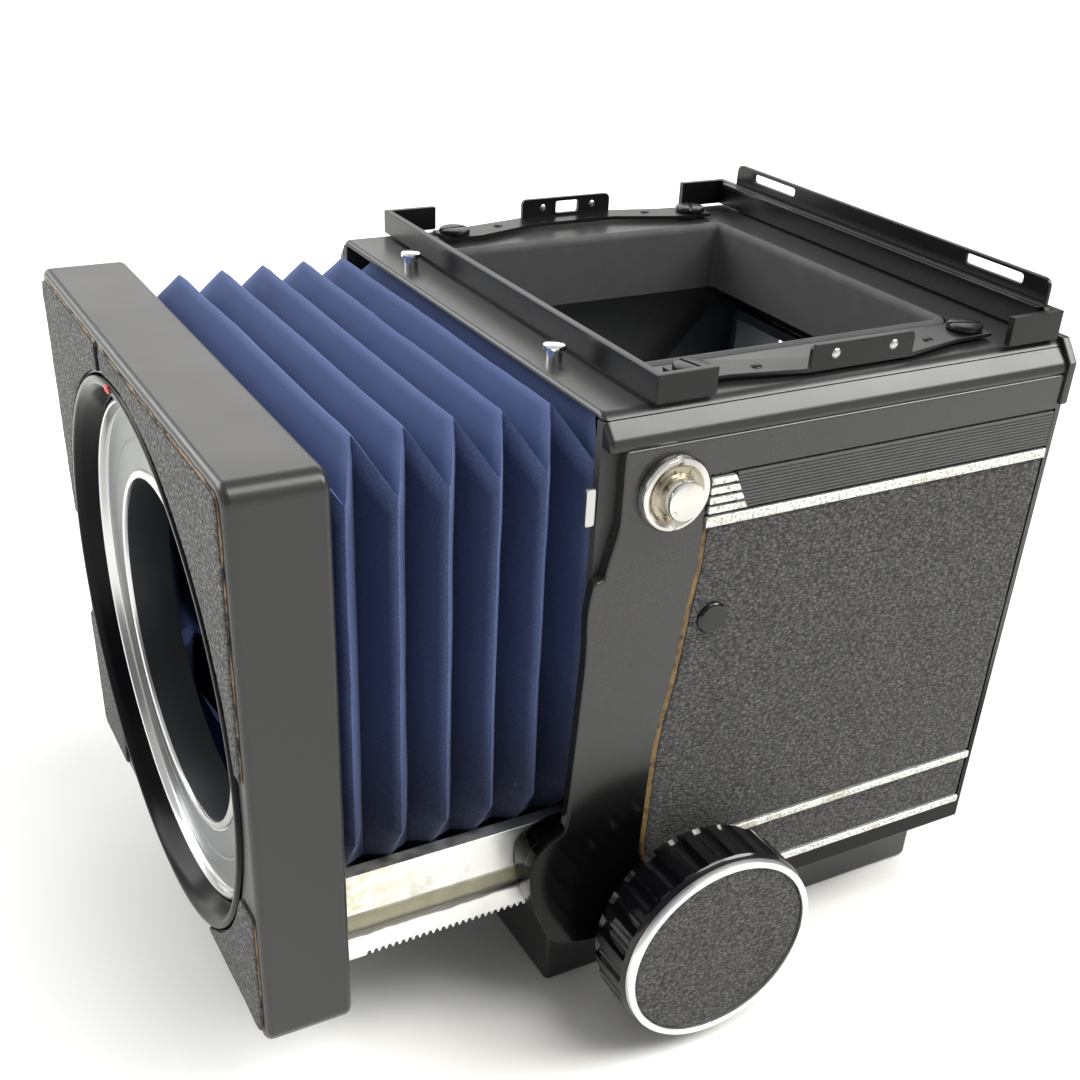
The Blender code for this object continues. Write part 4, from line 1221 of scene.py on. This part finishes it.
# Nodes that keep their CAD shape: finish, width of the softened edges, segments
DRESSES = (
    ("rail_left rail_right", RAIL, 0.12, 2),
    ("trim_upper_left trim_upper_right trim_lower_a_left trim_lower_a_right", SILVER, 0.2, 2),
    ("trim_lower_b_left trim_lower_b_right", SILVER, 0.2, 2),
    ("latch_left latch_right", FINDER_BLACK, 0.15, 2),
    ("finder_front_wall finder_rear_wall finder_retainer", FINDER_BLACK, 0.25, 3),
    ("side_plug_left", GLOSS, 0.2, 2),
    ("focus_pinion_shaft", STEEL, 0.05, 2),
    ("body_casting rear_plate", LINING, 0.3, 2),
    ("bottom_plate", ENAMEL, 0.15, 2),
    ("base_block", ENAMEL, 0, 2),
    ("tripod_bush", BRASS, 0.2, 2),
    ("mirror_frame", FLOCK, 0.2, 2),
    ("mirror_glass", MIRROR, 0.25, 2),
    ("light_shield", FLOCK, 0.15, 2),
    ("cocking_lever", ENAMEL_SMOOTH, 0.35, 3),
    ("focus_lock_lever", NICKEL, 0.3, 3),
    ("release_housing", ENAMEL_SMOOTH, 0.3, 3),
    ("release_button", CHROME, 0.2, 2),
    ("rear_interlock_pin", STEEL, 0.15, 2),
)


def dress_nodes():
    for nodes, finish, width, segments in DRESSES:
        for node in nodes.split():
            dress(node, finish, width, segments)


# Stage


# Directions in which the surroundings have a lamp, or are in shade
LAMP_SPOT = (0.4, 0.25, 0.88)
WINDOW_SPOT = (0.38, 0.66, 0.65)
CAMERA_SIDE = (0.82, -0.46, 0.35)
BACK_SIDE = (-0.1, 0.97, 0.2)


def surround():
    """Bright walls, two soft lamps overhead, and shade in front and behind. The camera sees plain white."""
    world = bpy.data.worlds.new("surround")
    bpy.context.scene.world = world
    n = Nodes(world, "Background", Color=(1.0, 0.995, 0.975))
    looking = n.add("TexCoord").outputs["Generated"]
    walls = n.remap(n.along("Z", looking), 0.0, 0.6, 0.95, 0.66)
    lamp = toward(n, looking, LAMP_SPOT, 0.955, 0.98, 7.5)
    window = toward(n, looking, WINDOW_SPOT, 0.955, 0.98, 12.0)
    shade = toward(n, looking, CAMERA_SIDE, 0.72, 0.93, 0.7)
    shade = n.calc("MAXIMUM", shade, toward(n, looking, BACK_SIDE, 0.6, 0.88, 0.7))
    light = n.times(walls, n.calc("SUBTRACT", 1.0, shade))
    lit = n.plus(light, n.calc("MAXIMUM", lamp, window))
    seen = n.add("LightPath").outputs["Is Camera Ray"]
    n.finish(Strength=n.plus(n.times(lit, n.calc("SUBTRACT", 1.0, seen)), seen))


def toward(n, looking, direction, low, high, amount):
    """Rises from 0 to amount as the direction of view turns towards another one."""
    made = n.add("VectorMath", {"operation": "DOT_PRODUCT"})
    n.first(made, looking, Vector(direction).normalized())
    return n.remap(made.outputs["Value"], low, high, 0.0, amount)


def stage():
    """A pale floor without a horizon, a soft window behind and one in front, in pale surroundings."""
    surround()
    mesh = bpy.data.meshes.new("floor")
    bm = bmesh.new()
    bmesh.ops.create_circle(bm, cap_ends=True, segments=96, radius=14)
    bm.to_mesh(mesh)
    bm.free()
    floor = loose("floor", mesh)
    floor.location.z = -0.0002
    n = material("paper", Roughness=0.8, Specular_IOR_Level=0.2)
    tone = n.mix(n.grain(260, 3), (0.9, 0.895, 0.87), (0.94, 0.935, 0.91))
    # painted falloff of the light: the floor is coloured darker farther from its middle
    distance = n.add("VectorMath", {"operation": "LENGTH"})
    n.first(distance, n.place())
    tone = n.mix(n.remap(distance.outputs["Value"], 0.25, 1.4), tone, (0.74, 0.735, 0.69))
    mesh.materials.append(n.finish(Base_Color=tone))
    add_light("window", (-1.05, 0.55, 0.85), 1.15, 4.3, (1.0, 0.99, 0.97))
    add_light("front_window", (-0.95, -0.75, 0.8), 1.0, 14.0, (0.98, 0.99, 1.0))
    settings = bpy.context.scene.view_settings
    settings.view_transform = "Standard"
    settings.exposure = 0.0


def add_light(name, spot, width, power, colour):
    """A soft area light 0.8 m high, placed in metres, that faces the camera body's middle."""
    lamp = bpy.data.lights.new(name, "AREA")
    lamp.shape = "RECTANGLE"
    lamp.size = width
    lamp.size_y = 0.8
    lamp.energy = power
    lamp.color = colour
    made = loose(name, lamp)
    made.location = spot
    aim = Vector((0, 0, 0.07)) - made.location
    made.rotation_euler = aim.to_track_quat("-Z", "Y").to_euler()


NEAR = 0.285  # the photo's camera stands nearer to the lens ring than this, in metres
FAR = 0.3  # and every other view is taken from farther away than this


def near_only(lens, channel, value, camera):
    """Gives a lens setting its value while the camera stands near the object, and 0 farther away."""
    curve = lens.driver_add(channel)
    for modifier in list(curve.modifiers):
        curve.modifiers.remove(modifier)
    curve.driver.type = "AVERAGE"
    variable = curve.driver.variables.new()
    variable.type = "LOC_DIFF"
    variable.targets[0].id = camera
    variable.targets[1].id = bpy.data.objects["lens_ring"]
    curve.keyframe_points.insert(NEAR, value).interpolation = "LINEAR"
    curve.keyframe_points.insert(FAR, 0.0).interpolation = "LINEAR"


def photo_camera():
    """The photo's viewpoint. The lens shift applies there only, so that other views stay centred."""
    yaw, pitch, roll = -1.05, -0.57, 0.05
    spot = Vector((207.93, -100.01, 190.05)) * MM + TO_ROW.translation
    forward = Vector((sin(yaw) * cos(pitch), cos(yaw) * cos(pitch), sin(pitch)))
    right = Vector((cos(yaw), -sin(yaw), 0))
    up = right.cross(forward)
    across = cos(roll) * right + sin(roll) * up
    upward = -sin(roll) * right + cos(roll) * up
    lens = bpy.data.cameras.new("photo_camera")
    lens.lens = 46.35
    lens.sensor_width = 36
    lens.clip_start = 0.01
    lens.clip_end = 100
    made = loose("photo_camera", lens)
    turn = Matrix((across, upward, -forward)).transposed()
    made.matrix_world = Matrix.Translation(spot) @ turn.to_4x4()
    near_only(lens, "shift_x", 0.0053, made)
    near_only(lens, "shift_y", 0.1425, made)
    bpy.context.scene.camera = made


# Assembly

front_shell()
lens_collar()
lens_ring()
red_mark()
front_covering()
bellows_cloth_tube()
top_shell()
rear_lip()
well_rim()
rivets()
body_clip()
back_details()
base_details()
for hand in (1, -1):
    knob(hand)
    side_shell(hand)
    side_covering(hand)
    name_plate(hand)
    plate_bars(hand)
    strap_stud(hand)
    finder_pin(hand)
    latch_screw(hand, "front", 20)
    latch_screw(hand, "rear", 75)
dress_nodes()
stage()
photo_camera()
